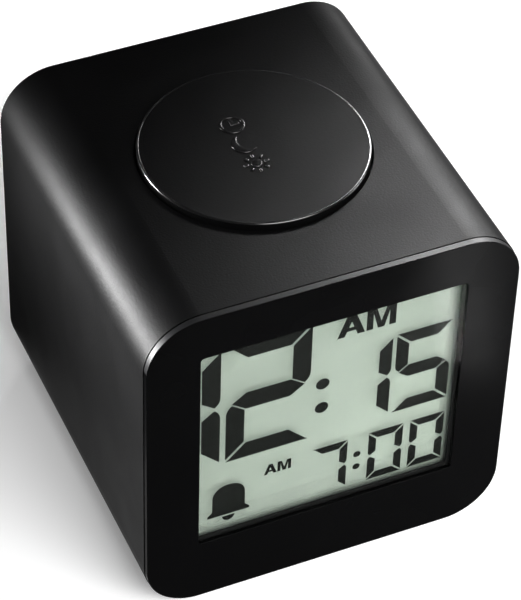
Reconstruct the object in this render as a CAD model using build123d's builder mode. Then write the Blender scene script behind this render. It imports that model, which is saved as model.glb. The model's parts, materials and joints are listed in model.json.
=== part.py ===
from build123d import *

import math
import os

# Cube-shaped digital alarm clock, in millimetres.
# X runs to the right, Y to the back and Z up. The origin is under the middle, on the table.

# Whole clock
body_width = 57.0
body_height = 57.0
overall_depth = 58.0
corner_radius = 8.4
wall = 2.0
front_wall = 1.6
rim_wall = 1.2
overrun = 1.0
seat_gap = 0.1
boss_bite = 0.3

# Front plate and window
plate_thickness = 1.0
plate_inset = 0.1
tape_thickness = 0.12
tape_inset = 0.5
window_side_border = 8.15
window_top_border = 7.59
window_bottom_border = 11.51
window_corner = 0.6
pane_flange = 1.0
pane_flange_thickness = 0.4

# Display and what carries it
lcd_border = 2.0
lcd_ledge = 2.6
lcd_clearance = 0.3
glass_thickness = 0.55
reflector_thickness = 0.15
reflector_inset = 0.3
gasket_thickness = 0.25
gasket_lip = 0.35
holder_depth = 2.5
holder_clearance = 0.8
guide_inset = 0.2
guide_thickness = 2.0
guide_corner = 4.0
guide_clearance = 0.3
zebra_end_gap = 2.35
zebra_thickness = 1.8
zebra_clearance = 0.2
led_width = 3.0
led_height = 1.4
led_depth = 2.2

# Screws
screw_diameter = 1.6
pilot_diameter = 1.7
screw_hole_diameter = 2.2
screw_head_diameter = 3.4
screw_head_height = 1.2
screw_slot_length = 2.0
screw_slot_width = 0.5
screw_slot_depth = 0.6
board_screw_length = 2.6
bracket_screw_length = 7.0
cover_screw_length = 9.0
control_screw_length = 5.0
screw_tip_room = 0.6

# Main board
board_thickness = 1.2
board_clearance = 0.3
head_wall_gap = 0.2
boss_clearance = 0.3
chip_diameter = 11.0
chip_height = 1.8
chip_edge = 1.4
chip_left = 9.0
chip_drop = 9.0
crystal_diameter = 2.0
crystal_length = 6.2
crystal_right = 13.0
crystal_rise = 10.0
crystal_leg = 0.4
crystal_leg_length = 1.8
capacitor_width = 1.7
capacitor_height = 0.9
capacitor_depth = 0.8
capacitor_pitch = 3.2
capacitor_rows = 2
capacitor_columns = 3
capacitor_left = 12.0
capacitor_rise = 6.0
socket_width = 11.0
socket_height = 3.4
socket_depth = 2.5
socket_slot_depth = 1.5
ribbon_width = 8.0
ribbon_thickness = 0.6
ribbon_clearance = 0.2
board_socket_rise = 5.0

# Snooze button and its switch
button_margin = 11.63
button_proud = 1.0
button_gap = 0.35
button_travel = 0.8
button_top = 1.6
button_wall = 1.6
button_edge = 0.25
button_flange = 1.4
button_lap = 1.2
stem_diameter = 5.0
stem_length = 4.0
spring_spigot_diameter = 8.9
spring_spigot_length = 1.2
guide_post_diameter = 3.0
guide_post_overhang = 1.3
guide_bush_diameter = 6.0
guide_bush_height = 2.0
guide_bush_clearance = 0.25
spring_wire = 0.6
spring_diameter = 10.2
spring_turns = 5
key_side = 6.0
snooze_key_height = 3.5
snooze_bore_depth = 1.8
plunger_proud = 1.2
plunger_diameter = 3.3
plunger_clearance = 0.2
snooze_board_gap = 0.5
snooze_board_depth = 13.0
snooze_board_thickness = 1.0
bracket_thickness = 2.0
bracket_boss_diameter = 5.0
bracket_wall_gap = 4.5
bracket_control_gap = 0.5
bracket_corner = 2.4
lead_hole_diameter = 2.4
snooze_lead_left = 5.5
snooze_lead_front = 4.5

# Rear cover and battery bay
cover_thickness = 2.2
cover_recess = 1.0
cover_clearance = 0.15
cover_boss_diameter = 5.5
cover_boss_length = 12.0
cover_head_clearance = 0.5
cell_nub_diameter = 3.8
cell_nub_length = 1.0
cell_edge = 0.5
cell_clearance = 0.3
cell_web = 0.8
tray_wall = 1.2
tray_side_gap = 1.175
tray_boss_gap = 0.75
tray_button_gap = 3.4
contact_thickness = 0.3
contact_margin = 1.25
contact_bulge = 2.6
contact_gap = 0.05
contact_room = 3.1
tab_width = 3.0
tab_reach = 4.5
tab_clearance = 0.2
bridge_overlap = 1.0
door_thickness = 1.4
door_lap = 0.9
door_clearance = 0.2
door_corner = 1.0
door_cell_gap = 0.6
door_rib_height = 0.4
door_rib_width = 1.2
door_rib_reach = 12.0
latch_width = 11.0
latch_length = 7.0
latch_slit = 0.7
thumb_diameter = 9.0
thumb_depth = 0.7

# Rear controls
set_button_names = ("hour", "minute", "time", "alarm")
set_button_pitch = 10.8
set_button_drop = 15.6
set_button_diameter = 6.0
set_button_gap = 0.3
set_button_proud = 0.6
set_button_edge = 0.4
set_button_flange = 1.0
set_button_lap = 0.5
set_stem_diameter = 3.0
set_stem_length = 0.7
set_travel = 0.5
key_height = 3.1
key_bore_depth = 1.5
control_board_gap = 1.0
control_board_height = 15.0
control_board_corner = 2.0
control_post_diameter = 3.2
control_post_drop = 8.8
control_post_reach = 14.0
switch_drop = 8.6
switch_width = 9.0
switch_height = 4.0
switch_depth = 3.6
switch_slot_depth = 1.8
knob_width = 4.0
knob_height = 2.6
knob_gap = 0.3
knob_proud = 0.6
knob_travel = 2.5
knob_flange_width = 8.0
knob_flange_height = 4.6
knob_flange_thickness = 0.9
knob_stem = 1.6
knob_groove = 0.4
knob_groove_pitch = 1.2
knob_groove_count = 3
control_socket_drop = 3.4

# Buzzer
piezo_diameter = 21.0
piezo_thickness = 0.25
ceramic_diameter = 15.0
ceramic_thickness = 0.2
piezo_rib_width = 1.4
piezo_rib_height = 1.5
sound_hole_diameter = 1.5
sound_hole_circle = 5.0
sound_hole_count = 6

# Feet
foot_diameter = 8.0
foot_proud = 0.6
foot_sink = 0.6
foot_edge = 0.2
foot_margin = 0.5
foot_end_margin = 4.88

# Leads
lead_diameter = 1.0
lead_run_share = 0.45
battery_lead_inset = 8.0
battery_lead_drop = 5.0
piezo_lead_right = 4.0
piezo_lead_rise = 9.0

# Depths of the front, from the face back
y_front = -overall_depth / 2
y_back = overall_depth / 2
y_plate_back = y_front + plate_thickness
y_case_front = y_plate_back + tape_thickness
y_wall_back = y_case_front + front_wall
y_lcd_front = y_plate_back + gasket_thickness
y_lcd_middle = y_lcd_front + glass_thickness
y_lcd_back = y_lcd_middle + glass_thickness
y_reflector_back = y_lcd_back + reflector_thickness
y_board_front = y_wall_back + holder_depth
y_board_back = y_board_front + board_thickness
y_button = (y_plate_back + y_back) / 2

# Heights from the table up to the top's underside
z_floor = foot_proud + wall
z_mid = foot_proud + body_height / 2
z_top = foot_proud + body_height
z_ceiling = z_top - wall
z_piezo = z_floor + piezo_rib_height
z_ceramic = z_piezo + piezo_thickness

# Case, cavity and front plate
cavity_width = body_width - 2 * wall
cavity_height = body_height - 2 * wall
cavity_radius = corner_radius - wall
rim_width = body_width - 2 * rim_wall
rim_height = body_height - 2 * rim_wall
rim_radius = corner_radius - rim_wall
plate_width = body_width - 2 * plate_inset
plate_height = body_height - 2 * plate_inset
plate_radius = corner_radius - plate_inset
foot_x = body_width / 2 - corner_radius - foot_diameter / 2 - foot_margin
foot_reach = -y_case_front - foot_diameter / 2 - foot_end_margin


def corner_place(diameter):
    """How far a round boss stands from the case's middle, each way, to bite into a cavity corner."""
    reach = (cavity_radius - diameter / 2 + boss_bite) / math.sqrt(2)
    x = cavity_width / 2 - cavity_radius + reach
    z = cavity_height / 2 - cavity_radius + reach
    return x, z


board_boss_diameter = screw_head_diameter + 2 * (head_wall_gap + boss_bite)
board_boss_x, board_boss_z = corner_place(board_boss_diameter)
cover_boss_x, cover_boss_z = corner_place(cover_boss_diameter)

# Window and display
window_width = body_width - 2 * window_side_border
window_height = body_height - window_top_border - window_bottom_border
z_window = foot_proud + window_bottom_border + window_height / 2
lcd_width = window_width + 2 * lcd_border
lcd_rear_height = window_height + 2 * lcd_border
lcd_height = lcd_rear_height + lcd_ledge
z_lcd = z_window - lcd_ledge / 2
zebra_length = lcd_width - 2 * zebra_end_gap
z_zebra = z_window - lcd_rear_height / 2 - lcd_ledge / 2
guide_width = window_width - 2 * guide_inset
guide_height = window_height - 2 * guide_inset
z_led = z_window + guide_height / 2 + guide_clearance + led_height / 2

# Rear controls, from the cover forwards and from the top down
y_cover_back = y_back - cover_recess
y_cover_front = y_cover_back - cover_thickness
y_door_front = y_cover_back - door_thickness
y_set_flange = y_cover_front - seat_gap
y_set_stem = y_set_flange - set_button_flange - set_stem_length
y_key_back = y_set_stem - plunger_proud
y_control_back = y_key_back - key_height
y_control_front = y_control_back - board_thickness
z_set = z_top - set_button_drop
z_switch = z_top - switch_drop
z_control_post = z_top - control_post_drop
set_button_count = len(set_button_names)
set_flange_radius = set_button_diameter / 2 + set_button_lap
control_post_x = set_button_pitch
control_board_width = cavity_width - 2 * control_board_gap
plunger_bore = plunger_diameter + 2 * plunger_clearance

# Snooze button, from the top down, and its bracket
button_diameter = min(body_width, overall_depth - plate_thickness) - 2 * button_margin
button_radius = button_diameter / 2
button_hole_radius = button_radius + button_gap
z_button_top = z_top + button_proud
z_button_under = z_button_top - button_top
z_button_flange = z_ceiling - seat_gap
z_button_rim = z_button_flange - button_flange
z_stem = z_button_under - stem_length
z_snooze_key = z_stem - plunger_proud
z_snooze_board = z_snooze_key - snooze_key_height
z_bracket = z_snooze_board - snooze_board_thickness
z_bracket_under = z_bracket - bracket_thickness
guide_post_reach = button_radius - button_wall - guide_post_diameter / 2 + boss_bite
snooze_board_width = 2 * (guide_post_reach - guide_bush_diameter / 2 - snooze_board_gap)
bracket_boss_x = cavity_width / 2 - bracket_boss_diameter / 2 - bracket_wall_gap
y_bracket_back = y_control_front - screw_head_height - bracket_control_gap
bracket_boss_y = y_bracket_back - bracket_boss_diameter / 2 - y_button

# Battery bay: two AAA cells, side by side between the lower bosses and the set buttons
z_tray_low = z_mid - cover_boss_z + cover_boss_diameter / 2 + tray_boss_gap + tray_wall
z_tray_high = z_set - set_flange_radius - tray_button_gap - tray_wall
z_tray = (z_tray_low + z_tray_high) / 2
tray_height = z_tray_high - z_tray_low
tray_length = cavity_width - 2 * (tray_side_gap + tray_wall)
tray_end = tray_length / 2
cell_slot_radius = (tray_height - cell_web) / 4
cell_pitch = 2 * cell_slot_radius + cell_web
cell_diameter = 2 * (cell_slot_radius - cell_clearance)
cell_length = tray_length - 2 * contact_thickness - contact_gap - contact_room
y_cell = y_door_front - door_cell_gap - cell_diameter / 2
contact_side = cell_diameter - 2 * contact_margin


def across(depth):
    """Plane across the clock at a depth: local x to the right, local y up, facing the front."""
    return Plane.XZ.offset(-depth)


def save(piece, name):
    """Labels a finished piece and writes it as one STEP file."""
    piece.part.label = name
    export_step(piece.part, f"parts/{name}.step")


def screw(head_plane, length):
    """One pan-head screw: its head's outer face is on head_plane, and it points against the normal."""
    with BuildPart() as fastener:
        with BuildSketch(head_plane):
            Circle(screw_head_diameter / 2)
        extrude(amount=-screw_head_height)
        with BuildSketch(head_plane.offset(-screw_head_height)):
            Circle(screw_diameter / 2)
        extrude(amount=-length)
        with BuildSketch(head_plane):
            Rectangle(screw_slot_length, screw_slot_width)
            Rectangle(screw_slot_width, screw_slot_length)
        extrude(amount=-screw_slot_depth, mode=Mode.SUBTRACT)
    return fastener.part


def lead_path(points):
    """Straight runs joined by arcs as large as the two runs at each corner leave room for."""
    vectors = [Vector(*point) for point in points]
    runs = [end - start for start, end in zip(vectors, vectors[1:])]
    radii = []
    for before, after in zip(runs, runs[1:]):
        turn = math.radians(before.get_angle(after))
        shorter = min(before.length, after.length)
        radii.append(lead_run_share * shorter / math.tan(turn / 2))
    print("lead radii", [round(radius, 1) for radius in radii])
    return FilletPolyline(*points, radius=radii)


def lead(points, diameter):
    """Round insulated lead through the given points."""
    with BuildPart() as cable:
        with BuildLine() as route:
            lead_path(points)
        with BuildSketch(Plane(origin=route.line @ 0, z_dir=route.line % 0)):
            Circle(diameter / 2)
        sweep(path=route.line)
    return cable


def coil_point(base, radius, pitch, turn):
    """A point of an upright coil so many turns above its base, and the direction of the wire there."""
    angle = math.tau * turn
    slope = pitch / math.tau
    point = base + Vector(radius * math.cos(angle), radius * math.sin(angle), pitch * turn)
    along = Vector(-radius * math.sin(angle), radius * math.cos(angle), slope)
    return point, along.normalized()


def coil_quarter(base, radius, pitch, turn):
    """A quarter turn of an upright coil as two arcs that meet in line, added to the line being built."""
    start, start_along = coil_point(base, radius, pitch, turn)
    end, end_along = coil_point(base, radius, pitch, turn + 1 / 4)
    span = end - start
    spread = 2 * (1 - start_along.dot(end_along))
    pull = span.dot(start_along + end_along)
    arm = (math.sqrt(pull**2 + spread * span.dot(span)) - pull) / spread
    first_corner = start + start_along * arm
    second_corner = end - end_along * arm
    middle = (first_corner + second_corner) / 2
    TangentArc(start, middle, tangent=start_along)
    TangentArc(middle, end, tangent=second_corner - middle)


os.makedirs("parts", exist_ok=True)

# Case: a rounded tube with a front wall, open at the back
with BuildPart() as case:
    with BuildSketch(across(y_case_front)):
        with Locations((0, z_mid)):
            RectangleRounded(body_width, body_height, corner_radius)
    extrude(amount=y_case_front - y_back)
    with BuildSketch(across(y_wall_back)):
        with Locations((0, z_mid)):
            RectangleRounded(cavity_width, cavity_height, cavity_radius)
    extrude(amount=y_wall_back - y_back, mode=Mode.SUBTRACT)
    with BuildSketch(across(y_cover_front)):
        with Locations((0, z_mid)):
            RectangleRounded(rim_width, rim_height, rim_radius)
    extrude(amount=y_cover_front - y_back, mode=Mode.SUBTRACT)
    # Short corner bosses for the main board
    with BuildSketch(across(y_board_front)):
        with Locations((0, z_mid)):
            with GridLocations(2 * board_boss_x, 2 * board_boss_z, 2, 2):
                Circle(board_boss_diameter / 2)
    extrude(amount=holder_depth + front_wall / 2)
    with BuildSketch(across(y_board_front)):
        with Locations((0, z_mid)):
            with GridLocations(2 * board_boss_x, 2 * board_boss_z, 2, 2):
                Circle(pilot_diameter / 2)
    extrude(amount=board_screw_length - board_thickness + screw_tip_room, mode=Mode.SUBTRACT)
    # Opening that the display sits in
    with BuildSketch(across(y_case_front)):
        with Locations((0, z_lcd)):
            Rectangle(lcd_width + 2 * lcd_clearance, lcd_height + 2 * lcd_clearance)
    extrude(amount=-front_wall, mode=Mode.SUBTRACT)
    # Long corner bosses for the rear cover
    with BuildSketch(across(y_cover_front)):
        with Locations((0, z_mid)):
            with GridLocations(2 * cover_boss_x, 2 * cover_boss_z, 2, 2):
                Circle(cover_boss_diameter / 2)
    extrude(amount=cover_boss_length)
    with BuildSketch(across(y_cover_front)):
        with Locations((0, z_mid)):
            with GridLocations(2 * cover_boss_x, 2 * cover_boss_z, 2, 2):
                Circle(pilot_diameter / 2)
    extrude(amount=cover_screw_length + screw_tip_room, mode=Mode.SUBTRACT)
    # Bosses under the top wall for the snooze bracket
    with BuildSketch(Plane.XY.offset(z_bracket)):
        with Locations((0, y_button)):
            with GridLocations(2 * bracket_boss_x, 2 * bracket_boss_y, 2, 2):
                Circle(bracket_boss_diameter / 2)
    extrude(amount=z_ceiling - z_bracket + wall / 2)
    with BuildSketch(Plane.XY.offset(z_bracket)):
        with Locations((0, y_button)):
            with GridLocations(2 * bracket_boss_x, 2 * bracket_boss_y, 2, 2):
                Circle(pilot_diameter / 2)
    extrude(amount=bracket_screw_length - bracket_thickness + screw_tip_room, mode=Mode.SUBTRACT)
    # Round hole that the snooze button works in
    with BuildSketch(Plane.XY.offset(z_ceiling - overrun)):
        with Locations((0, y_button)):
            Circle(button_hole_radius)
    extrude(amount=wall + 2 * overrun, mode=Mode.SUBTRACT)
    # Ring that carries the buzzer, with its sound holes
    with BuildSketch(Plane.XY.offset(z_floor - wall / 2)):
        Circle(piezo_diameter / 2)
        Circle(piezo_diameter / 2 - piezo_rib_width, mode=Mode.SUBTRACT)
    extrude(amount=wall / 2 + piezo_rib_height)
    with BuildSketch(Plane.XY.offset(foot_proud - overrun)):
        Circle(sound_hole_diameter / 2)
        with PolarLocations(sound_hole_circle, sound_hole_count):
            Circle(sound_hole_diameter / 2)
    extrude(amount=wall + 2 * overrun, mode=Mode.SUBTRACT)
    # Sockets for the feet
    with BuildSketch(Plane.XY.offset(foot_proud)):
        with GridLocations(2 * foot_x, 2 * foot_reach, 2, 2):
            Circle(foot_diameter / 2)
    extrude(amount=foot_sink, mode=Mode.SUBTRACT)
save(case, "case")

# Front plate: glossy plate over the whole front, rebated behind for the window
with BuildPart() as front_plate:
    with BuildSketch(across(y_front)):
        with Locations((0, z_mid)):
            RectangleRounded(plate_width, plate_height, plate_radius)
        with Locations((0, z_window)):
            RectangleRounded(window_width, window_height, window_corner, mode=Mode.SUBTRACT)
    extrude(amount=-plate_thickness)
    with BuildSketch(across(y_plate_back)):
        with Locations((0, z_window)):
            Rectangle(window_width + 2 * pane_flange, window_height + 2 * pane_flange)
    extrude(amount=pane_flange_thickness, mode=Mode.SUBTRACT)
save(front_plate, "front_plate")

# Display window: clear pane, flush in front and flanged behind
with BuildPart() as display_window:
    with BuildSketch(across(y_front)):
        with Locations((0, z_window)):
            RectangleRounded(window_width, window_height, window_corner)
    extrude(amount=-plate_thickness)
    with BuildSketch(across(y_plate_back)):
        with Locations((0, z_window)):
            Rectangle(window_width + 2 * pane_flange, window_height + 2 * pane_flange)
    extrude(amount=pane_flange_thickness)
save(display_window, "display_window")

# Adhesive frame between the plate and the case
with BuildPart() as plate_tape:
    with BuildSketch(across(y_plate_back)):
        with Locations((0, z_mid)):
            RectangleRounded(
                plate_width - 2 * tape_inset, plate_height - 2 * tape_inset, plate_radius - tape_inset
            )
        with Locations((0, z_lcd)):
            Rectangle(
                lcd_width + 2 * lcd_clearance, lcd_height + 2 * lcd_clearance, mode=Mode.SUBTRACT
            )
    extrude(amount=-tape_thickness)
save(plate_tape, "plate_tape")

# Dust seal between the window and the display
with BuildPart() as lcd_gasket:
    with BuildSketch(across(y_plate_back)):
        with Locations((0, z_lcd)):
            Rectangle(lcd_width, lcd_height)
        with Locations((0, z_window)):
            Rectangle(window_width - 2 * gasket_lip, window_height - 2 * gasket_lip, mode=Mode.SUBTRACT)
    extrude(amount=-gasket_thickness)
save(lcd_gasket, "lcd_gasket")

# Display: front glass with a contact ledge below, shorter rear glass, pale film behind
with BuildPart() as lcd_front_glass:
    with BuildSketch(across(y_lcd_front)):
        with Locations((0, z_lcd)):
            Rectangle(lcd_width, lcd_height)
    extrude(amount=-glass_thickness)
save(lcd_front_glass, "lcd_front_glass")

with BuildPart() as lcd_rear_glass:
    with BuildSketch(across(y_lcd_middle)):
        with Locations((0, z_window)):
            Rectangle(lcd_width, lcd_rear_height)
    extrude(amount=-glass_thickness)
save(lcd_rear_glass, "lcd_rear_glass")

with BuildPart() as lcd_reflector:
    with BuildSketch(across(y_lcd_back)):
        with Locations((0, z_window)):
            Rectangle(lcd_width - 2 * reflector_inset, lcd_rear_height - 2 * reflector_inset)
    extrude(amount=-reflector_thickness)
save(lcd_reflector, "lcd_reflector")

# Holder: frame between the front wall and the main board, with a step that backs the display
holder_width = cavity_width - 2 * holder_clearance
holder_height = cavity_height - 2 * holder_clearance
with BuildPart() as lcd_holder:
    with BuildSketch(across(y_wall_back)):
        with Locations((0, z_mid)):
            RectangleRounded(holder_width, holder_height, cavity_radius - holder_clearance)
    extrude(amount=-holder_depth)
    with BuildSketch(across(y_reflector_back)):
        with Locations((0, z_window)):
            Rectangle(lcd_width, lcd_rear_height)
    extrude(amount=y_reflector_back - y_wall_back)
    with BuildSketch(across(y_reflector_back)):
        with Locations((0, z_window)):
            RectangleRounded(
                guide_width + 2 * guide_clearance,
                guide_height + 2 * guide_clearance,
                guide_corner + guide_clearance,
            )
        with Locations((0, z_led)):
            Rectangle(led_width + 2 * guide_clearance, led_height + 2 * guide_clearance)
        with Locations((0, z_zebra)):
            Rectangle(zebra_length + 2 * zebra_clearance, zebra_thickness + 2 * zebra_clearance)
        with Locations((0, z_mid)):
            with GridLocations(2 * board_boss_x, 2 * board_boss_z, 2, 2):
                Circle(board_boss_diameter / 2 + boss_clearance)
    extrude(amount=y_reflector_back - y_board_front, mode=Mode.SUBTRACT)
save(lcd_holder, "lcd_holder")

with BuildPart() as light_guide:
    with BuildSketch(across(y_reflector_back)):
        with Locations((0, z_window)):
            RectangleRounded(guide_width, guide_height, guide_corner)
    extrude(amount=-guide_thickness)
save(light_guide, "light_guide")

with BuildPart() as backlight_led:
    with BuildSketch(across(y_board_front)):
        with Locations((0, z_led)):
            Rectangle(led_width, led_height)
    extrude(amount=led_depth)
save(backlight_led, "backlight_led")

# Striped rubber that joins the display's ledge to the main board
with BuildPart() as zebra_strip:
    with BuildSketch(across(y_lcd_middle)):
        with Locations((0, z_zebra)):
            Rectangle(zebra_length, zebra_thickness)
    extrude(amount=y_lcd_middle - y_board_front)
save(zebra_strip, "zebra_strip")

# Main board and what it carries
with BuildPart() as main_board:
    with BuildSketch(across(y_board_front)):
        with Locations((0, z_mid)):
            RectangleRounded(
                cavity_width - 2 * board_clearance,
                cavity_height - 2 * board_clearance,
                cavity_radius - board_clearance,
            )
            with GridLocations(2 * board_boss_x, 2 * board_boss_z, 2, 2):
                Circle(screw_hole_diameter / 2, mode=Mode.SUBTRACT)
    extrude(amount=-board_thickness)
save(main_board, "main_board")

with BuildPart() as board_screws:
    for place in GridLocations(2 * board_boss_x, 2 * board_boss_z, 2, 2).locations:
        corner = place.position
        head = Plane(origin=(corner.X, y_board_back + screw_head_height, z_mid + corner.Y), z_dir=(0, 1, 0))
        add(screw(head, board_screw_length))
save(board_screws, "board_screws")

with BuildPart() as chip_cover:
    with BuildSketch(across(y_board_back)):
        with Locations((-chip_left, z_mid - chip_drop)):
            Circle(chip_diameter / 2)
    extrude(amount=-chip_height)
    fillet(chip_cover.edges().group_by(Axis.Y)[-1], chip_edge)
save(chip_cover, "chip_cover")

with BuildPart() as quartz_crystal:
    with BuildSketch(Plane.XY.offset(z_mid + crystal_rise)):
        with Locations((crystal_right, y_board_back + crystal_diameter / 2)):
            Circle(crystal_diameter / 2)
    extrude(amount=crystal_length)
    with BuildSketch(across(y_board_back)):
        with Locations((crystal_right, z_mid + crystal_rise)):
            with GridLocations(crystal_diameter / 2, 0, 2, 1):
                Rectangle(crystal_leg, 2 * crystal_leg_length)
    extrude(amount=-crystal_leg)
    with BuildSketch(across(y_board_back)):
        with Locations((crystal_right, z_mid + crystal_rise + crystal_length / 2)):
            Rectangle(crystal_diameter / 2, crystal_length / 2)
    extrude(amount=-crystal_diameter / 2)
save(quartz_crystal, "quartz_crystal")

with BuildPart() as board_capacitors:
    with BuildSketch(across(y_board_back)):
        with Locations((-capacitor_left, z_mid + capacitor_rise)):
            with GridLocations(capacitor_pitch, capacitor_pitch, capacitor_columns, capacitor_rows):
                Rectangle(capacitor_width, capacitor_height)
    extrude(amount=-capacitor_depth)
save(board_capacitors, "board_capacitors")

# Snooze button: thin-walled cap with a retaining flange, a stem and two guide posts
with BuildPart() as snooze_button:
    with BuildSketch(across(y_button)):
        with BuildLine():
            Polyline(
                (0, z_button_under),
                (0, z_button_top),
                (button_radius, z_button_top),
                (button_radius, z_button_flange),
                (button_hole_radius + button_lap, z_button_flange),
                (button_hole_radius + button_lap, z_button_rim),
                (button_radius - button_wall, z_button_rim),
                (button_radius - button_wall, z_button_under),
                close=True,
            )
        make_face()
    revolve(axis=Axis((0, y_button, 0), (0, 0, 1)))
    fillet(snooze_button.edges().group_by(Axis.Z)[-1], button_edge)
    with BuildSketch(Plane.XY.offset(z_button_under + button_top / 2)):
        with Locations((0, y_button)):
            Circle(spring_spigot_diameter / 2)
    extrude(amount=-button_top / 2 - spring_spigot_length)
    with BuildSketch(Plane.XY.offset(z_button_under)):
        with Locations((0, y_button)):
            Circle(stem_diameter / 2)
    extrude(amount=-stem_length)
    with BuildSketch(Plane.XY.offset(z_button_under + button_top / 2)):
        with Locations((0, y_button)):
            with GridLocations(2 * guide_post_reach, 0, 2, 1):
                Circle(guide_post_diameter / 2)
    extrude(amount=z_bracket_under - guide_post_overhang - z_button_under - button_top / 2)
save(snooze_button, "snooze_button")

# Bracket under the button: screwed to the case's bosses, with bushes for the guide posts
bush_bore = guide_post_diameter + 2 * guide_bush_clearance
with BuildPart() as snooze_bracket:
    with BuildSketch(Plane.XY.offset(z_bracket_under)):
        with Locations((0, y_button)):
            RectangleRounded(
                2 * bracket_boss_x + bracket_boss_diameter,
                2 * bracket_boss_y + bracket_boss_diameter,
                bracket_corner,
            )
    extrude(amount=bracket_thickness)
    with BuildSketch(Plane.XY.offset(z_bracket_under)):
        with Locations((0, y_button)):
            with GridLocations(2 * guide_post_reach, 0, 2, 1):
                Circle(guide_bush_diameter / 2)
    extrude(amount=bracket_thickness + guide_bush_height)
    with BuildSketch(Plane.XY.offset(z_bracket_under)):
        with Locations((0, y_button)):
            with GridLocations(2 * guide_post_reach, 0, 2, 1):
                Circle(bush_bore / 2)
            with GridLocations(2 * bracket_boss_x, 2 * bracket_boss_y, 2, 2):
                Circle(screw_hole_diameter / 2)
        with Locations((-snooze_lead_left, y_button - snooze_lead_front)):
            Circle(lead_hole_diameter / 2)
    extrude(amount=bracket_thickness + guide_bush_height, mode=Mode.SUBTRACT)
save(snooze_bracket, "snooze_bracket")

with BuildPart() as bracket_screws:
    for place in GridLocations(2 * bracket_boss_x, 2 * bracket_boss_y, 2, 2).locations:
        corner = place.position
        origin = (corner.X, y_button + corner.Y, z_bracket_under - screw_head_height)
        add(screw(Plane(origin=origin, z_dir=(0, 0, -1)), bracket_screw_length))
save(bracket_screws, "bracket_screws")

with BuildPart() as snooze_board:
    with BuildSketch(Plane.XY.offset(z_bracket)):
        with Locations((0, y_button)):
            Rectangle(snooze_board_width, snooze_board_depth)
    extrude(amount=snooze_board_thickness)
save(snooze_board, "snooze_board")

with BuildPart() as snooze_switch:
    with BuildSketch(Plane.XY.offset(z_snooze_board)):
        with Locations((0, y_button)):
            Rectangle(key_side, key_side)
    extrude(amount=snooze_key_height)
    with BuildSketch(Plane.XY.offset(z_snooze_key)):
        with Locations((0, y_button)):
            Circle(plunger_bore / 2)
    extrude(amount=-snooze_bore_depth, mode=Mode.SUBTRACT)
save(snooze_switch, "snooze_switch")

with BuildPart() as snooze_plunger:
    with BuildSketch(Plane.XY.offset(z_stem)):
        with Locations((0, y_button)):
            Circle(plunger_diameter / 2)
    extrude(amount=z_snooze_key - z_stem - snooze_bore_depth + button_travel + plunger_clearance)
save(snooze_plunger, "snooze_plunger")

# Return spring between the snooze board and the button
spring_low = z_snooze_board + spring_wire / 2 + seat_gap
spring_high = z_button_under - spring_wire / 2 - seat_gap
spring_pitch = (spring_high - spring_low) / spring_turns
spring_base = Vector(0, y_button, spring_low)
print("least gap in the spring", round(spring_pitch - spring_wire, 2))
with BuildPart() as snooze_spring:
    with BuildLine() as coil:
        for quarter in range(4 * spring_turns):
            coil_quarter(spring_base, spring_diameter / 2, spring_pitch, quarter / 4)
    with BuildSketch(Plane(origin=coil.line @ 0, z_dir=coil.line % 0)):
        Circle(spring_wire / 2)
    sweep(path=coil.line)
save(snooze_spring, "snooze_spring")

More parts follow.
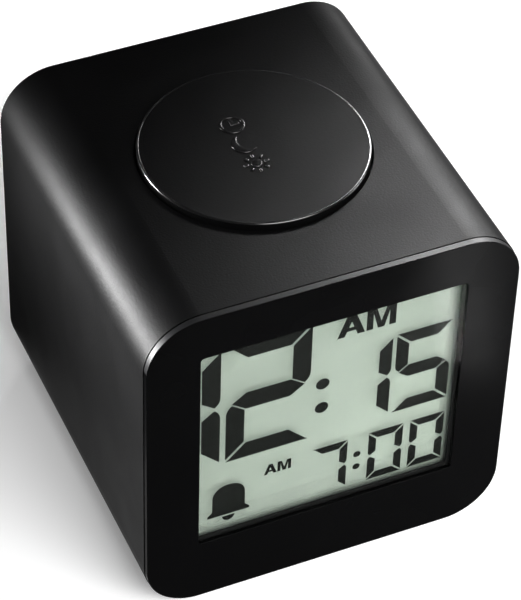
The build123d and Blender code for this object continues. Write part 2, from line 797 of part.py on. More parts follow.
# Rear cover: recessed plate with a two-cell tray moulded in
with BuildPart() as rear_cover:
    with BuildSketch(across(y_cover_front)):
        with Locations((0, z_mid)):
            RectangleRounded(
                rim_width - 2 * cover_clearance,
                rim_height - 2 * cover_clearance,
                rim_radius - cover_clearance,
            )
    extrude(amount=-cover_thickness)
    # Tray walls: two round troughs, open to the back
    with BuildSketch(Plane.YZ.offset(-tray_end - tray_wall)):
        with Locations((y_cell, z_tray)):
            with GridLocations(0, cell_pitch, 1, 2):
                Circle(cell_slot_radius + tray_wall)
            Rectangle(
                y_cover_front + cover_thickness / 2 - y_cell,
                tray_height + 2 * tray_wall,
                align=(Align.MIN, Align.CENTER),
            )
    extrude(amount=tray_length + 2 * tray_wall)
    with BuildSketch(Plane.YZ.offset(-tray_end)):
        with Locations((y_cell, z_tray)):
            with GridLocations(0, cell_pitch, 1, 2):
                Circle(cell_slot_radius)
                Rectangle(
                    y_cover_back - y_cell + overrun,
                    2 * cell_slot_radius,
                    align=(Align.MIN, Align.CENTER),
                )
    extrude(amount=tray_length, mode=Mode.SUBTRACT)
    # Recess and thumb scoop for the battery door
    with BuildSketch(across(y_door_front)):
        with Locations((0, z_tray)):
            RectangleRounded(tray_length + 2 * door_lap, tray_height + 2 * door_lap, door_corner)
    extrude(amount=-door_thickness - overrun, mode=Mode.SUBTRACT)
    with BuildSketch(across(y_cover_back - thumb_depth)):
        with Locations((0, z_tray + tray_height / 2 + door_lap)):
            Circle(thumb_diameter / 2)
    extrude(amount=-thumb_depth - overrun, mode=Mode.SUBTRACT)
    # Slots for the contacts' solder tabs
    with BuildSketch(across(y_cell)):
        with Locations((tray_end - contact_thickness / 2, z_tray)):
            with GridLocations(0, cell_pitch, 1, 2):
                Rectangle(contact_thickness + 2 * tab_clearance, tab_width + 2 * tab_clearance)
    extrude(amount=cell_slot_radius + tray_wall + overrun, mode=Mode.SUBTRACT)
    # Slot in the middle web for the bridge contact
    with BuildSketch(across(y_cell - contact_side / 2 - tab_clearance)):
        with Locations((-tray_end, z_tray)):
            Rectangle(
                contact_thickness + contact_bulge + contact_gap,
                cell_pitch,
                align=(Align.MIN, Align.CENTER),
            )
    extrude(amount=y_cell - y_cover_back - overrun, mode=Mode.SUBTRACT)
    # Posts for the control board
    with BuildSketch(across(y_cover_front + cover_thickness / 2)):
        with Locations((0, z_set)):
            with GridLocations(2 * control_post_x, 0, 2, 1):
                Circle(control_post_diameter / 2)
        with Locations((0, z_control_post)):
            with GridLocations(2 * control_post_reach, 0, 2, 1):
                Circle(control_post_diameter / 2)
    extrude(amount=y_cover_front + cover_thickness / 2 - y_control_back)
    with BuildSketch(across(y_control_back)):
        with Locations((0, z_set)):
            with GridLocations(2 * control_post_x, 0, 2, 1):
                Circle(pilot_diameter / 2)
        with Locations((0, z_control_post)):
            with GridLocations(2 * control_post_reach, 0, 2, 1):
                Circle(pilot_diameter / 2)
    extrude(amount=board_thickness - control_screw_length - screw_tip_room, mode=Mode.SUBTRACT)
    # Holes for the buttons, the knob and the screws
    with BuildSketch(across(y_cover_front - overrun)):
        with Locations((0, z_set)):
            with GridLocations(set_button_pitch, 0, set_button_count, 1):
                Circle(set_button_diameter / 2 + set_button_gap)
        with Locations((0, z_switch)):
            Rectangle(knob_width + knob_travel + 2 * knob_gap, knob_height + 2 * knob_gap)
        with Locations((0, z_mid)):
            with GridLocations(2 * cover_boss_x, 2 * cover_boss_z, 2, 2):
                Circle(screw_hole_diameter / 2)
    extrude(amount=-cover_thickness - 2 * overrun, mode=Mode.SUBTRACT)
    with BuildSketch(across(y_cover_back - screw_head_height)):
        with Locations((0, z_mid)):
            with GridLocations(2 * cover_boss_x, 2 * cover_boss_z, 2, 2):
                Circle(screw_head_diameter / 2 + cover_head_clearance)
    extrude(amount=-screw_head_height - overrun, mode=Mode.SUBTRACT)
save(rear_cover, "rear_cover")

with BuildPart() as cover_screws:
    for place in GridLocations(2 * cover_boss_x, 2 * cover_boss_z, 2, 2).locations:
        corner = place.position
        head = Plane(origin=(corner.X, y_cover_back, z_mid + corner.Y), z_dir=(0, 1, 0))
        add(screw(head, cover_screw_length))
save(cover_screws, "cover_screws")

# Battery door: flush panel with a springy latch tongue and ribs that steady the cells
door_width = tray_length + 2 * door_lap - 2 * door_clearance
door_height = tray_height + 2 * door_lap - 2 * door_clearance
z_door_top = z_tray + door_height / 2
with BuildPart() as battery_door:
    with BuildSketch(across(y_door_front)):
        with Locations((0, z_tray)):
            RectangleRounded(door_width, door_height, door_corner - door_clearance)
        with Locations((0, z_door_top - latch_length / 2)):
            with GridLocations(latch_width, 0, 2, 1):
                Rectangle(latch_slit, latch_length, mode=Mode.SUBTRACT)
    extrude(amount=-door_thickness)
    with BuildSketch(across(y_cover_back - thumb_depth)):
        with Locations((0, z_door_top)):
            Circle(thumb_diameter / 2)
    extrude(amount=-thumb_depth, mode=Mode.SUBTRACT)
    with BuildSketch(across(y_door_front)):
        with Locations((0, z_tray)):
            with GridLocations(2 * door_rib_reach, cell_pitch, 2, 2):
                Rectangle(door_rib_width, cell_slot_radius)
    extrude(amount=door_rib_height)
save(battery_door, "battery_door")


def cell(direction, height):
    """One AAA cell along X; its raised end points in the given direction."""
    shoulder = cell_length - cell_nub_length
    tip = direction * (tray_end - contact_thickness - contact_gap)
    start = Plane(origin=(tip - direction * cell_length, y_cell, height), z_dir=(direction, 0, 0))
    with BuildPart() as battery:
        with BuildSketch(start):
            Circle(cell_diameter / 2)
        extrude(amount=shoulder)
        fillet(battery.edges().filter_by(GeomType.CIRCLE), cell_edge)
        with BuildSketch(start.offset(shoulder)):
            Circle(cell_nub_diameter / 2)
        extrude(amount=cell_nub_length)
    return battery


save(cell(1, z_tray + cell_pitch / 2), "upper_cell")
save(cell(-1, z_tray - cell_pitch / 2), "lower_cell")


def contact_plate(side, height):
    """Flat contact against one end of the tray, added to the part being built."""
    with BuildSketch(Plane.YZ.offset(side * tray_end)) as outline:
        with Locations((y_cell, height)):
            Rectangle(contact_side, contact_side)
    extrude(outline.sketch, amount=-side * contact_thickness)


def contact_leaf(side, height):
    """Arched spring leaf on a flat contact, added to the part being built."""
    root = side * (tray_end - contact_thickness)
    half = contact_side / 2
    with BuildSketch(across(y_cell)) as outline:
        with BuildLine():
            ThreePointArc(
                (root, height - half), (root - side * contact_bulge, height), (root, height + half)
            )
            Line((root, height + half), (root, height + half - contact_thickness))
            ThreePointArc(
                (root, height + half - contact_thickness),
                (root - side * (contact_bulge - contact_thickness), height),
                (root, height - half + contact_thickness),
            )
            Line((root, height - half + contact_thickness), (root, height - half))
        make_face()
    extrude(outline.sketch, amount=tab_width / 2, both=True)


def contact_tab(height):
    """Solder tab that goes out through the tray, added to the part being built."""
    with BuildSketch(across(y_cell)) as outline:
        with Locations((tray_end - contact_thickness / 2, height)):
            Rectangle(contact_thickness, tab_width)
    extrude(outline.sketch, amount=contact_side / 2 + tab_reach)


with BuildPart() as positive_contact:
    contact_plate(1, z_tray + cell_pitch / 2)
    contact_tab(z_tray + cell_pitch / 2)
save(positive_contact, "positive_contact")

with BuildPart() as negative_contact:
    contact_plate(1, z_tray - cell_pitch / 2)
    contact_leaf(1, z_tray - cell_pitch / 2)
    contact_tab(z_tray - cell_pitch / 2)
save(negative_contact, "negative_contact")

with BuildPart() as bridge_contact:
    contact_plate(-1, z_tray - cell_pitch / 2)
    contact_plate(-1, z_tray + cell_pitch / 2)
    contact_leaf(-1, z_tray + cell_pitch / 2)
    with BuildSketch(Plane.YZ.offset(-tray_end)):
        with Locations((y_cell, z_tray)):
            Rectangle(tab_width, cell_pitch - contact_side + 2 * bridge_overlap)
    extrude(amount=contact_thickness)
save(bridge_contact, "bridge_contact")

# Control board behind the rear buttons, notched round the cover's bosses
z_control = (z_set + z_switch) / 2
with BuildPart() as control_board:
    with BuildSketch(across(y_control_front)):
        with Locations((0, z_control)):
            RectangleRounded(control_board_width, control_board_height, control_board_corner)
        with Locations((0, z_mid)):
            with GridLocations(2 * cover_boss_x, 2 * cover_boss_z, 2, 2):
                Circle(cover_boss_diameter / 2 + boss_clearance, mode=Mode.SUBTRACT)
        with Locations((0, z_set)):
            with GridLocations(2 * control_post_x, 0, 2, 1):
                Circle(screw_hole_diameter / 2, mode=Mode.SUBTRACT)
        with Locations((0, z_control_post)):
            with GridLocations(2 * control_post_reach, 0, 2, 1):
                Circle(screw_hole_diameter / 2, mode=Mode.SUBTRACT)
    extrude(amount=-board_thickness)
save(control_board, "control_board")

with BuildPart() as control_screws:
    for x, z in (
        (-control_post_x, z_set),
        (control_post_x, z_set),
        (-control_post_reach, z_control_post),
        (control_post_reach, z_control_post),
    ):
        head = Plane(origin=(x, y_control_front - screw_head_height, z), z_dir=(0, -1, 0))
        add(screw(head, control_screw_length))
save(control_screws, "control_screws")

with BuildPart() as control_switches:
    with BuildSketch(across(y_control_back)):
        with Locations((0, z_set)):
            with GridLocations(set_button_pitch, 0, set_button_count, 1):
                Rectangle(key_side, key_side)
    extrude(amount=-key_height)
    with BuildSketch(across(y_key_back)):
        with Locations((0, z_set)):
            with GridLocations(set_button_pitch, 0, set_button_count, 1):
                Circle(plunger_bore / 2)
    extrude(amount=key_bore_depth, mode=Mode.SUBTRACT)
save(control_switches, "control_switches")

# Set buttons, pressed in from behind, each with the plunger of its key switch
for index, name in enumerate(set_button_names):
    x_button = (index - (set_button_count - 1) / 2) * set_button_pitch
    with BuildPart() as set_button:
        with BuildSketch(across(y_cover_back + set_button_proud)):
            with Locations((x_button, z_set)):
                Circle(set_button_diameter / 2)
        extrude(amount=y_cover_back + set_button_proud - y_set_flange)
        fillet(set_button.edges().group_by(Axis.Y)[-1], set_button_edge)
        with BuildSketch(across(y_set_flange)):
            with Locations((x_button, z_set)):
                Circle(set_flange_radius)
        extrude(amount=set_button_flange)
        with BuildSketch(across(y_set_flange - set_button_flange)):
            with Locations((x_button, z_set)):
                Circle(set_stem_diameter / 2)
        extrude(amount=set_stem_length)
    save(set_button, f"{name}_button")
    with BuildPart() as set_plunger:
        with BuildSketch(across(y_set_stem)):
            with Locations((x_button, z_set)):
                Circle(plunger_diameter / 2)
        extrude(amount=plunger_proud + key_bore_depth - set_travel - plunger_clearance)
    save(set_plunger, f"{name}_plunger")

# Slide switch and its knob, at the off end of its travel
with BuildPart() as slide_switch:
    with BuildSketch(across(y_control_back)):
        with Locations((0, z_switch)):
            Rectangle(switch_width, switch_height)
    extrude(amount=-switch_depth)
    with BuildSketch(across(y_control_back + switch_depth)):
        with Locations((0, z_switch)):
            Rectangle(knob_stem + knob_travel + 2 * knob_gap, knob_stem + 2 * knob_gap)
    extrude(amount=switch_slot_depth, mode=Mode.SUBTRACT)
save(slide_switch, "slide_switch")

x_knob = -knob_travel / 2
y_knob_stem = y_control_back + switch_depth - switch_slot_depth + knob_gap
with BuildPart() as alarm_knob:
    with BuildSketch(across(y_set_flange)):
        with Locations((x_knob, z_switch)):
            Rectangle(knob_flange_width, knob_flange_height)
    extrude(amount=knob_flange_thickness)
    with BuildSketch(across(y_set_flange)):
        with Locations((x_knob, z_switch)):
            Rectangle(knob_width, knob_height)
    extrude(amount=y_set_flange - y_cover_back - knob_proud)
    with BuildSketch(across(y_set_flange - knob_flange_thickness)):
        with Locations((x_knob, z_switch)):
            Rectangle(knob_stem, knob_stem)
    extrude(amount=y_set_flange - knob_flange_thickness - y_knob_stem)
    with BuildSketch(across(y_cover_back + knob_proud)):
        with Locations((x_knob, z_switch)):
            with GridLocations(knob_groove_pitch, 0, knob_groove_count, 1):
                Rectangle(knob_groove, knob_height)
    extrude(amount=knob_groove, mode=Mode.SUBTRACT)
save(alarm_knob, "alarm_knob")

# Buzzer: brass plate on the ring in the floor, ceramic disc on it
with BuildPart() as piezo_plate:
    with BuildSketch(Plane.XY.offset(z_piezo)):
        Circle(piezo_diameter / 2)
    extrude(amount=piezo_thickness)
save(piezo_plate, "piezo_plate")

with BuildPart() as piezo_ceramic:
    with BuildSketch(Plane.XY.offset(z_ceramic)):
        Circle(ceramic_diameter / 2)
    extrude(amount=ceramic_thickness)
save(piezo_ceramic, "piezo_ceramic")

# Sockets at both ends of the ribbon, and the ribbon between them
z_board_socket = z_mid + board_socket_rise
z_control_socket = z_set - control_socket_drop
y_ribbon_start = y_control_front - socket_slot_depth
y_ribbon_end = y_board_back + socket_slot_depth
with BuildPart() as ribbon_sockets:
    with BuildSketch(across(y_board_back)):
        with Locations((0, z_board_socket)):
            Rectangle(socket_width, socket_height)
    extrude(amount=-socket_depth)
    with BuildSketch(across(y_board_back + socket_depth)):
        with Locations((0, z_board_socket)):
            Rectangle(ribbon_width + 2 * ribbon_clearance, ribbon_thickness + 2 * ribbon_clearance)
    extrude(amount=socket_depth - socket_slot_depth, mode=Mode.SUBTRACT)
    with BuildSketch(across(y_control_front)):
        with Locations((0, z_control_socket)):
            Rectangle(socket_width, socket_height)
    extrude(amount=socket_depth)
    with BuildSketch(across(y_control_front - socket_depth)):
        with Locations((0, z_control_socket)):
            Rectangle(ribbon_width + 2 * ribbon_clearance, ribbon_thickness + 2 * ribbon_clearance)
    extrude(amount=socket_slot_depth - socket_depth, mode=Mode.SUBTRACT)
save(ribbon_sockets, "ribbon_sockets")

ribbon_run = (y_ribbon_start - y_ribbon_end) / 3
with BuildPart() as control_ribbon:
    with BuildLine() as ribbon_route:
        lead_path(
            (
                (0, y_ribbon_start, z_control_socket),
                (0, y_ribbon_start - ribbon_run, z_control_socket),
                (0, y_ribbon_end + ribbon_run, z_board_socket),
                (0, y_ribbon_end, z_board_socket),
            )
        )
    with BuildSketch(across(y_ribbon_start)):
        with Locations((0, z_control_socket)):
            Rectangle(ribbon_width, ribbon_thickness)
    sweep(path=ribbon_route.line)
save(control_ribbon, "control_ribbon")

# Battery leads, from the contacts' tabs to the main board
x_tab = tray_end - contact_thickness / 2
y_tab = y_cell - contact_side / 2 - tab_reach
battery_run = (y_tab - y_board_back) / 3
for name, z_lead in (("red", z_tray + cell_pitch / 2), ("black", z_tray - cell_pitch / 2)):
    battery_lead = lead(
        (
            (x_tab, y_tab, z_lead),
            (x_tab, y_tab - battery_run, z_lead),
            (x_tab - battery_lead_inset, y_board_back + battery_run, z_lead - battery_lead_drop),
            (x_tab - battery_lead_inset, y_board_back, z_lead - battery_lead_drop),
        ),
        lead_diameter,
    )
    save(battery_lead, f"{name}_lead")

# Leads from the buzzer and from the snooze board to the main board
y_piezo_lead = -ceramic_diameter / 4
z_piezo_lead = z_ceramic + ceramic_thickness
piezo_run = (y_piezo_lead - y_board_back) / 2
piezo_lead = lead(
    (
        (piezo_lead_right, y_piezo_lead, z_piezo_lead),
        (piezo_lead_right, y_piezo_lead, z_piezo_lead + piezo_lead_rise),
        (piezo_lead_right, y_board_back + piezo_run, z_piezo_lead + piezo_lead_rise + lead_diameter),
        (piezo_lead_right, y_board_back, z_piezo_lead + piezo_lead_rise),
    ),
    lead_diameter,
)
save(piezo_lead, "piezo_lead")

y_snooze_lead = y_button - snooze_lead_front
z_snooze_turn = z_bracket_under - bracket_screw_length
snooze_run = (y_snooze_lead - y_board_back) / 2
snooze_lead = lead(
    (
        (-snooze_lead_left, y_snooze_lead, z_bracket),
        (-snooze_lead_left, y_snooze_lead, z_snooze_turn),
        (-snooze_lead_left, y_board_back + snooze_run, z_snooze_turn - lead_diameter),
        (-snooze_lead_left, y_board_back, z_snooze_turn),
    ),
    lead_diameter,
)
save(snooze_lead, "snooze_lead")

# Feet, pressed into their sockets under the case
with BuildPart() as feet:
    with BuildSketch(Plane.XY):
        with GridLocations(2 * foot_x, 2 * foot_reach, 2, 2):
            Circle(foot_diameter / 2)
    extrude(amount=foot_proud + foot_sink)
    chamfer(feet.edges().group_by(Axis.Z)[0], foot_edge)
save(feet, "feet")
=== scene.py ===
"""Studio picture of a cube-shaped digital alarm clock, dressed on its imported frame.

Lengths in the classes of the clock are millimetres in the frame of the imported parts, with the front
facing -Y. A mesh is brought to metres when it becomes a piece. Finishes and the studio are in metres.
"""

import json
import logging
import math
from dataclasses import dataclass
from enum import Enum

import bmesh
import bpy
from mathutils import Matrix, Vector


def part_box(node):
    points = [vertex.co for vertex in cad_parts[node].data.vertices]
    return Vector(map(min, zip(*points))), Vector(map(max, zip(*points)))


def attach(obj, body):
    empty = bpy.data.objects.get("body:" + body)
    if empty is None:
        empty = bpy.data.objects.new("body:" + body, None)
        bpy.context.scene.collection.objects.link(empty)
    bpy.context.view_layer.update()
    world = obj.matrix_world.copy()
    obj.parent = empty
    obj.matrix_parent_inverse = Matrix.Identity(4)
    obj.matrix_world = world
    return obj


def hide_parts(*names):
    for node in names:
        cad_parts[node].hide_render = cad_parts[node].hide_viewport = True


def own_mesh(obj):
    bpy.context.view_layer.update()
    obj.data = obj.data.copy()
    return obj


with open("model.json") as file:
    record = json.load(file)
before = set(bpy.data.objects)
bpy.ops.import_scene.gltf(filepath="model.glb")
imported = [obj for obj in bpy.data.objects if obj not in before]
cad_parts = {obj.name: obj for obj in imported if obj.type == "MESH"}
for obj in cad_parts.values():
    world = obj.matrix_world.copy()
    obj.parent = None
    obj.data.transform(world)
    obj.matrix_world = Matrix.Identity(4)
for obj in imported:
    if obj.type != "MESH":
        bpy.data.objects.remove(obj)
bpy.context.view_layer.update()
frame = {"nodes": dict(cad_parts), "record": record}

LOG = logging.getLogger("clock")

Colour = tuple[float, float, float]
Point = tuple[float, float]
Triple = tuple[float, float, float]
Stops = list[tuple[float, Colour]]
Inputs = dict[str | int, object]
Shape = bmesh.types.BMesh
Face = bmesh.types.BMFace
Edge = bmesh.types.BMEdge
Vert = bmesh.types.BMVert
Socket = bpy.types.NodeSocket
Material = bpy.types.Material

MM = 0.001
WELD = 0.0005
SMOOTH_ANGLE = math.radians(35)
ROUND_PROFILE = 0.5
FULL_TURN = 2 * math.pi
UPWARDS = (0, 0, 1)
NOISE_MIDDLE = (0.3, 0.7)
BLACK = (0.0, 0.0, 0.0)
WHITE = (1.0, 1.0, 1.0)
NARROW_BEAM = math.radians(26)
BEAM = math.radians(36)


class Body(Enum):
    """The bodies that the added pieces ride on."""

    CLOCK = "clock"
    SNOOZE = "snooze"


class Light(Enum):
    """The share of light that a see-through layer sends back when it is seen straight on."""

    POLISHED = 0.034
    COATED = 0.0015
    BONDED = 0.0003


class Recipe:
    """A material's node tree, written one node at a time."""

    def __init__(self, name: str) -> None:
        """Starts an empty tree with an output and the piece's own coordinates.

        Args:
            name: the material's name.
        """
        self.material = bpy.data.materials.new(name)
        self.material.use_nodes = True
        self.tree = self.material.node_tree
        self.tree.nodes.clear()
        self.output = self.node("ShaderNodeOutputMaterial")
        self.place = self.node("ShaderNodeTexCoord").outputs["Object"]

    def node(self, kind: str, inputs: Inputs | None = None, **settings: object) -> bpy.types.Node:
        """Adds a node.

        Args:
            kind: the node's type name.
            inputs: a socket to link, or a value to set, for an input's name or number.
            settings: the node's own properties.

        Returns:
            The new node.
        """
        made = self.tree.nodes.new(kind)
        for name, value in settings.items():
            setattr(made, name, value)
        for name, value in (inputs or {}).items():
            if isinstance(value, Socket):
                self.tree.links.new(value, made.inputs[name])
            else:
                made.inputs[name].default_value = value
        return made

    def noise(self, size: float, detail: float = 2.0, stretch: Triple = (1.0, 1.0, 1.0)) -> Socket:
        """Adds a noise on the piece's own coordinates.

        Args:
            size: about how far apart its patches lie, in metres.
            detail: how many finer layers it has.
            stretch: scale of the coordinates along each axis.

        Returns:
            The noise's value, 0 to 1.
        """
        turned = self.node("ShaderNodeMapping", {"Vector": self.place, "Scale": stretch})
        where = turned.outputs["Vector"]
        made = self.node("ShaderNodeTexNoise", {"Vector": where, "Scale": 1 / size, "Detail": detail})
        return made.outputs["Fac"]

    def shades(self, value: Socket, stops: Stops, steps: bool = False) -> Socket:
        """Turns a value into colours.

        Args:
            value: the value to read.
            stops: places from 0 to 1, each with its colour.
            steps: whether the colours change abruptly.

        Returns:
            The colour.
        """
        made = self.node("ShaderNodeValToRGB", {"Fac": value})
        ramp = made.color_ramp
        ramp.interpolation = "CONSTANT" if steps else "LINEAR"
        while len(ramp.elements) < len(stops):
            ramp.elements.new(1.0)
        for element, (place, colour) in zip(ramp.elements, stops):
            element.position = place
            element.color = (*colour, 1.0)
        return made.outputs["Color"]

    def mottle(self, value: Socket, first: Colour, second: Colour) -> Socket:
        """Colours a noise's middle range from a first to a second colour."""
        return self.shades(value, list(zip(NOISE_MIDDLE, (first, second))))

    def between(self, value: Socket, low: float, high: float) -> Socket:
        """Maps a noise's middle range to another range.

        Args:
            value: the noise.
            low: the start of the new range.
            high: its end.

        Returns:
            The mapped value.
        """
        start, end = NOISE_MIDDLE
        made = self.node(
            "ShaderNodeMapRange",
            {"Value": value, "From Min": start, "From Max": end, "To Min": low, "To Max": high},
        )
        return made.outputs["Result"]

    def along(self, axis: int, start: float, end: float) -> Socket:
        """Measures along an axis of the piece.

        Args:
            axis: the axis's number.
            start: where the measure is 0, in metres.
            end: where it is 1.

        Returns:
            The measure.
        """
        place = self.node("ShaderNodeSeparateXYZ", {"Vector": self.place}).outputs[axis]
        made = self.node("ShaderNodeMapRange", {"Value": place, "From Min": start, "From Max": end})
        return made.outputs["Result"]

    def reckon(self, operation: str, *values: Socket | float) -> Socket:
        """Adds a sum, of the named operation, and returns its result."""
        return self.node("ShaderNodeMath", dict(enumerate(values)), operation=operation).outputs[0]

    def bump(self, height: Socket, depth: float) -> Socket:
        """Turns a height into a bumped normal, depth metres deep."""
        made = self.node("ShaderNodeBump", {"Height": height, "Distance": depth, "Strength": 1.0})
        return made.outputs["Normal"]

    def surface(self, shader: bpy.types.Node) -> Material:
        """Makes a shader the material's surface and returns the material."""
        self.tree.links.new(shader.outputs[0], self.output.inputs["Surface"])
        return self.material

    def principled(self, inputs: Inputs) -> Material:
        """Makes a Principled shader the material's surface and returns the material."""
        return self.surface(self.node("ShaderNodeBsdfPrincipled", inputs))


def tint(colour: Colour, share: float) -> Colour:
    """Returns a colour made brighter, or darker, by a share of itself."""
    return tuple(min(1.0, part * (1 + share)) for part in colour)


@dataclass(frozen=True)
class Finish:
    """A surface finish, written as a material at its first use."""

    name: str

    def material(self) -> Material:
        """Returns the finish's material."""
        return bpy.data.materials.get(self.name) or self.write(Recipe(self.name))

    def write(self, recipe: Recipe) -> Material:
        """Writes the finish's nodes into a recipe and returns the material."""
        raise NotImplementedError(self.name)


@dataclass(frozen=True)
class Moulding(Finish):
    """Moulded plastic or rubber with a fine grain from its tool and a faint clouding."""

    colour: Colour
    roughness: float
    specular: float = 0.5
    cloud: float = 0.12
    cloud_size: float = 0.012
    polish_spread: float = 0.04
    grain_size: float = 0.00035
    grain_depth: float = 0.000008
    grain_detail: float = 3.0

    def write(self, recipe: Recipe) -> Material:
        """Writes the finish's nodes.

        Args:
            recipe: the tree to write in.

        Returns:
            The material.
        """
        cloud = recipe.noise(self.cloud_size)
        grain = recipe.noise(self.grain_size, self.grain_detail)
        dark, pale = tint(self.colour, -self.cloud), tint(self.colour, self.cloud)
        smooth, rough = self.roughness - self.polish_spread, self.roughness + self.polish_spread
        return recipe.principled(
            {
                "Base Color": recipe.mottle(cloud, dark, pale),
                "Roughness": recipe.between(cloud, smooth, rough),
                "Specular IOR Level": self.specular,
                "Normal": recipe.bump(grain, self.grain_depth),
            }
        )


@dataclass(frozen=True)
class Metal(Finish):
    """Rolled or plated metal with fine lines along one axis."""

    colour: Colour
    roughness: float
    lines: Triple = (0.06, 1.0, 1.0)
    line_size: float = 0.00025
    line_depth: float = 0.000003
    line_detail: float = 3.0
    darker: float = 0.15
    brighter: float = 0.1
    smoother: float = 0.05
    rougher: float = 0.1

    def write(self, recipe: Recipe) -> Material:
        """Writes the finish's nodes.

        Args:
            recipe: the tree to write in.

        Returns:
            The material.
        """
        lines = recipe.noise(self.line_size, self.line_detail, self.lines)
        dark, bright = tint(self.colour, -self.darker), tint(self.colour, self.brighter)
        smooth, rough = self.roughness - self.smoother, self.roughness + self.rougher
        return recipe.principled(
            {
                "Base Color": recipe.mottle(lines, dark, bright),
                "Metallic": 1.0,
                "Roughness": recipe.between(lines, smooth, rough),
                "Normal": recipe.bump(lines, self.line_depth),
            }
        )


@dataclass(frozen=True)
class ClearLayer(Finish):
    """A thin see-through layer: a gloss that grows towards grazing angles over plain clearness."""

    colour: Colour
    light: Light
    roughness: float = 0.03
    polish_spread: float = 0.2
    cloud_size: float = 0.004
    edge_gain: float = 25.0
    edge_power: float = 5.0
    even_blend: float = 0.5

    def write(self, recipe: Recipe) -> Material:
        """Writes the finish's nodes.

        Args:
            recipe: the tree to write in.

        Returns:
            The material.
        """
        straight = self.light.value
        smooth, rough = self.roughness * (1 - self.polish_spread), self.roughness * (1 + self.polish_spread)
        polish = recipe.between(recipe.noise(self.cloud_size), smooth, rough)
        clear = recipe.node("ShaderNodeBsdfTransparent", {"Color": (*self.colour, 1.0)})
        gloss = recipe.node("ShaderNodeBsdfGlossy", {"Roughness": polish})
        slant = recipe.node("ShaderNodeLayerWeight", {"Blend": self.even_blend}).outputs["Facing"]
        steep = recipe.reckon("POWER", slant, self.edge_power)
        share = recipe.reckon("MULTIPLY_ADD", steep, straight * self.edge_gain, straight)
        mixed = {0: share, 1: clear.outputs[0], 2: gloss.outputs[0]}
        return recipe.surface(recipe.node("ShaderNodeMixShader", mixed))


@dataclass(frozen=True)
class CircuitBoard(Finish):
    """Solder mask over copper tracks, a little lighter and raised where a track runs below it."""

    mask: Colour
    track: Colour
    pitch: float = 0.0016
    track_share: float = 0.12
    track_depth: float = 0.00003
    roughness: float = 0.35
    smoother: float = 0.05
    rougher: float = 0.08
    cloud_size: float = 0.001

    def write(self, recipe: Recipe) -> Material:
        """Writes the finish's nodes.

        Args:
            recipe: the tree to write in.

        Returns:
            The material.
        """
        grid = {"Vector": recipe.place, "Scale": 1 / self.pitch, "Mortar Size": self.track_share}
        tracks = recipe.node("ShaderNodeTexBrick", grid).outputs["Fac"]
        smooth, rough = self.roughness - self.smoother, self.roughness + self.rougher
        return recipe.principled(
            {
                "Base Color": recipe.shades(tracks, [(0.0, self.mask), (1.0, self.track)]),
                "Roughness": recipe.between(recipe.noise(self.cloud_size), smooth, rough),
                "Normal": recipe.bump(tracks, self.track_depth),
            }
        )


@dataclass(frozen=True)
class CellSleeve(Finish):
    """A plain battery sleeve: a long pale length, a short blue length and bare metal ends."""

    start: float
    end: float
    pale: Colour = (0.42, 0.44, 0.43)
    blue: Colour = (0.035, 0.075, 0.15)
    metal: Colour = (0.72, 0.72, 0.74)
    end_share: float = 0.025
    blue_share: float = 0.16
    smooth: float = 0.24
    rough: float = 0.36
    lacquer: float = 0.3
    scuff_size: float = 0.0006
    scuff_depth: float = 0.000004
    scuff_detail: float = 4.0
    scuff_stretch: Triple = (0.3, 1.0, 1.0)

    def write(self, recipe: Recipe) -> Material:
        """Writes the finish's nodes.

        Args:
            recipe: the tree to write in.

        Returns:
            The material.
        """
        along = recipe.along(0, self.start, self.end)
        pale_from, metal_from = self.end_share, 1 - self.end_share
        blue_from = metal_from - self.blue_share
        bands = [(0.0, self.metal), (pale_from, self.pale), (blue_from, self.blue), (metal_from, self.metal)]
        bare = [(0.0, WHITE), (pale_from, BLACK), (metal_from, WHITE)]
        scuffs = recipe.noise(self.scuff_size, self.scuff_detail, self.scuff_stretch)
        return recipe.principled(
            {
                "Base Color": recipe.shades(along, bands, steps=True),
                "Metallic": recipe.shades(along, bare, steps=True),
                "Roughness": recipe.between(scuffs, self.smooth, self.rough),
                "Coat Weight": self.lacquer,
                "Normal": recipe.bump(scuffs, self.scuff_depth),
            }
        )


@dataclass(frozen=True)
class FloorPaint(Finish):
    """A pale floor that shows white to the eye and in reflections, and still takes a shadow."""

    paint: float
    glow: float
    speck: float = 0.01
    speck_size: float = 0.02

    def write(self, recipe: Recipe) -> Material:
        """Writes the finish's nodes.

        Args:
            recipe: the tree to write in.

        Returns:
            The material.
        """
        grey = (self.paint,) * 3
        mottled = recipe.mottle(recipe.noise(self.speck_size), grey, tint(grey, self.speck))
        paint = recipe.node("ShaderNodeBsdfDiffuse", {"Color": mottled})
        rays = recipe.node("ShaderNodeLightPath").outputs
        seen = recipe.reckon("MAXIMUM", rays["Is Camera Ray"], rays["Is Glossy Ray"])
        seen = recipe.reckon("MAXIMUM", seen, rays["Is Transmission Ray"])
        level = recipe.reckon("MULTIPLY", seen, self.glow)
        glow = recipe.node("ShaderNodeEmission", {"Strength": level})
        both = {0: paint.outputs[0], 1: glow.outputs[0]}
        return recipe.surface(recipe.node("ShaderNodeAddShader", both))


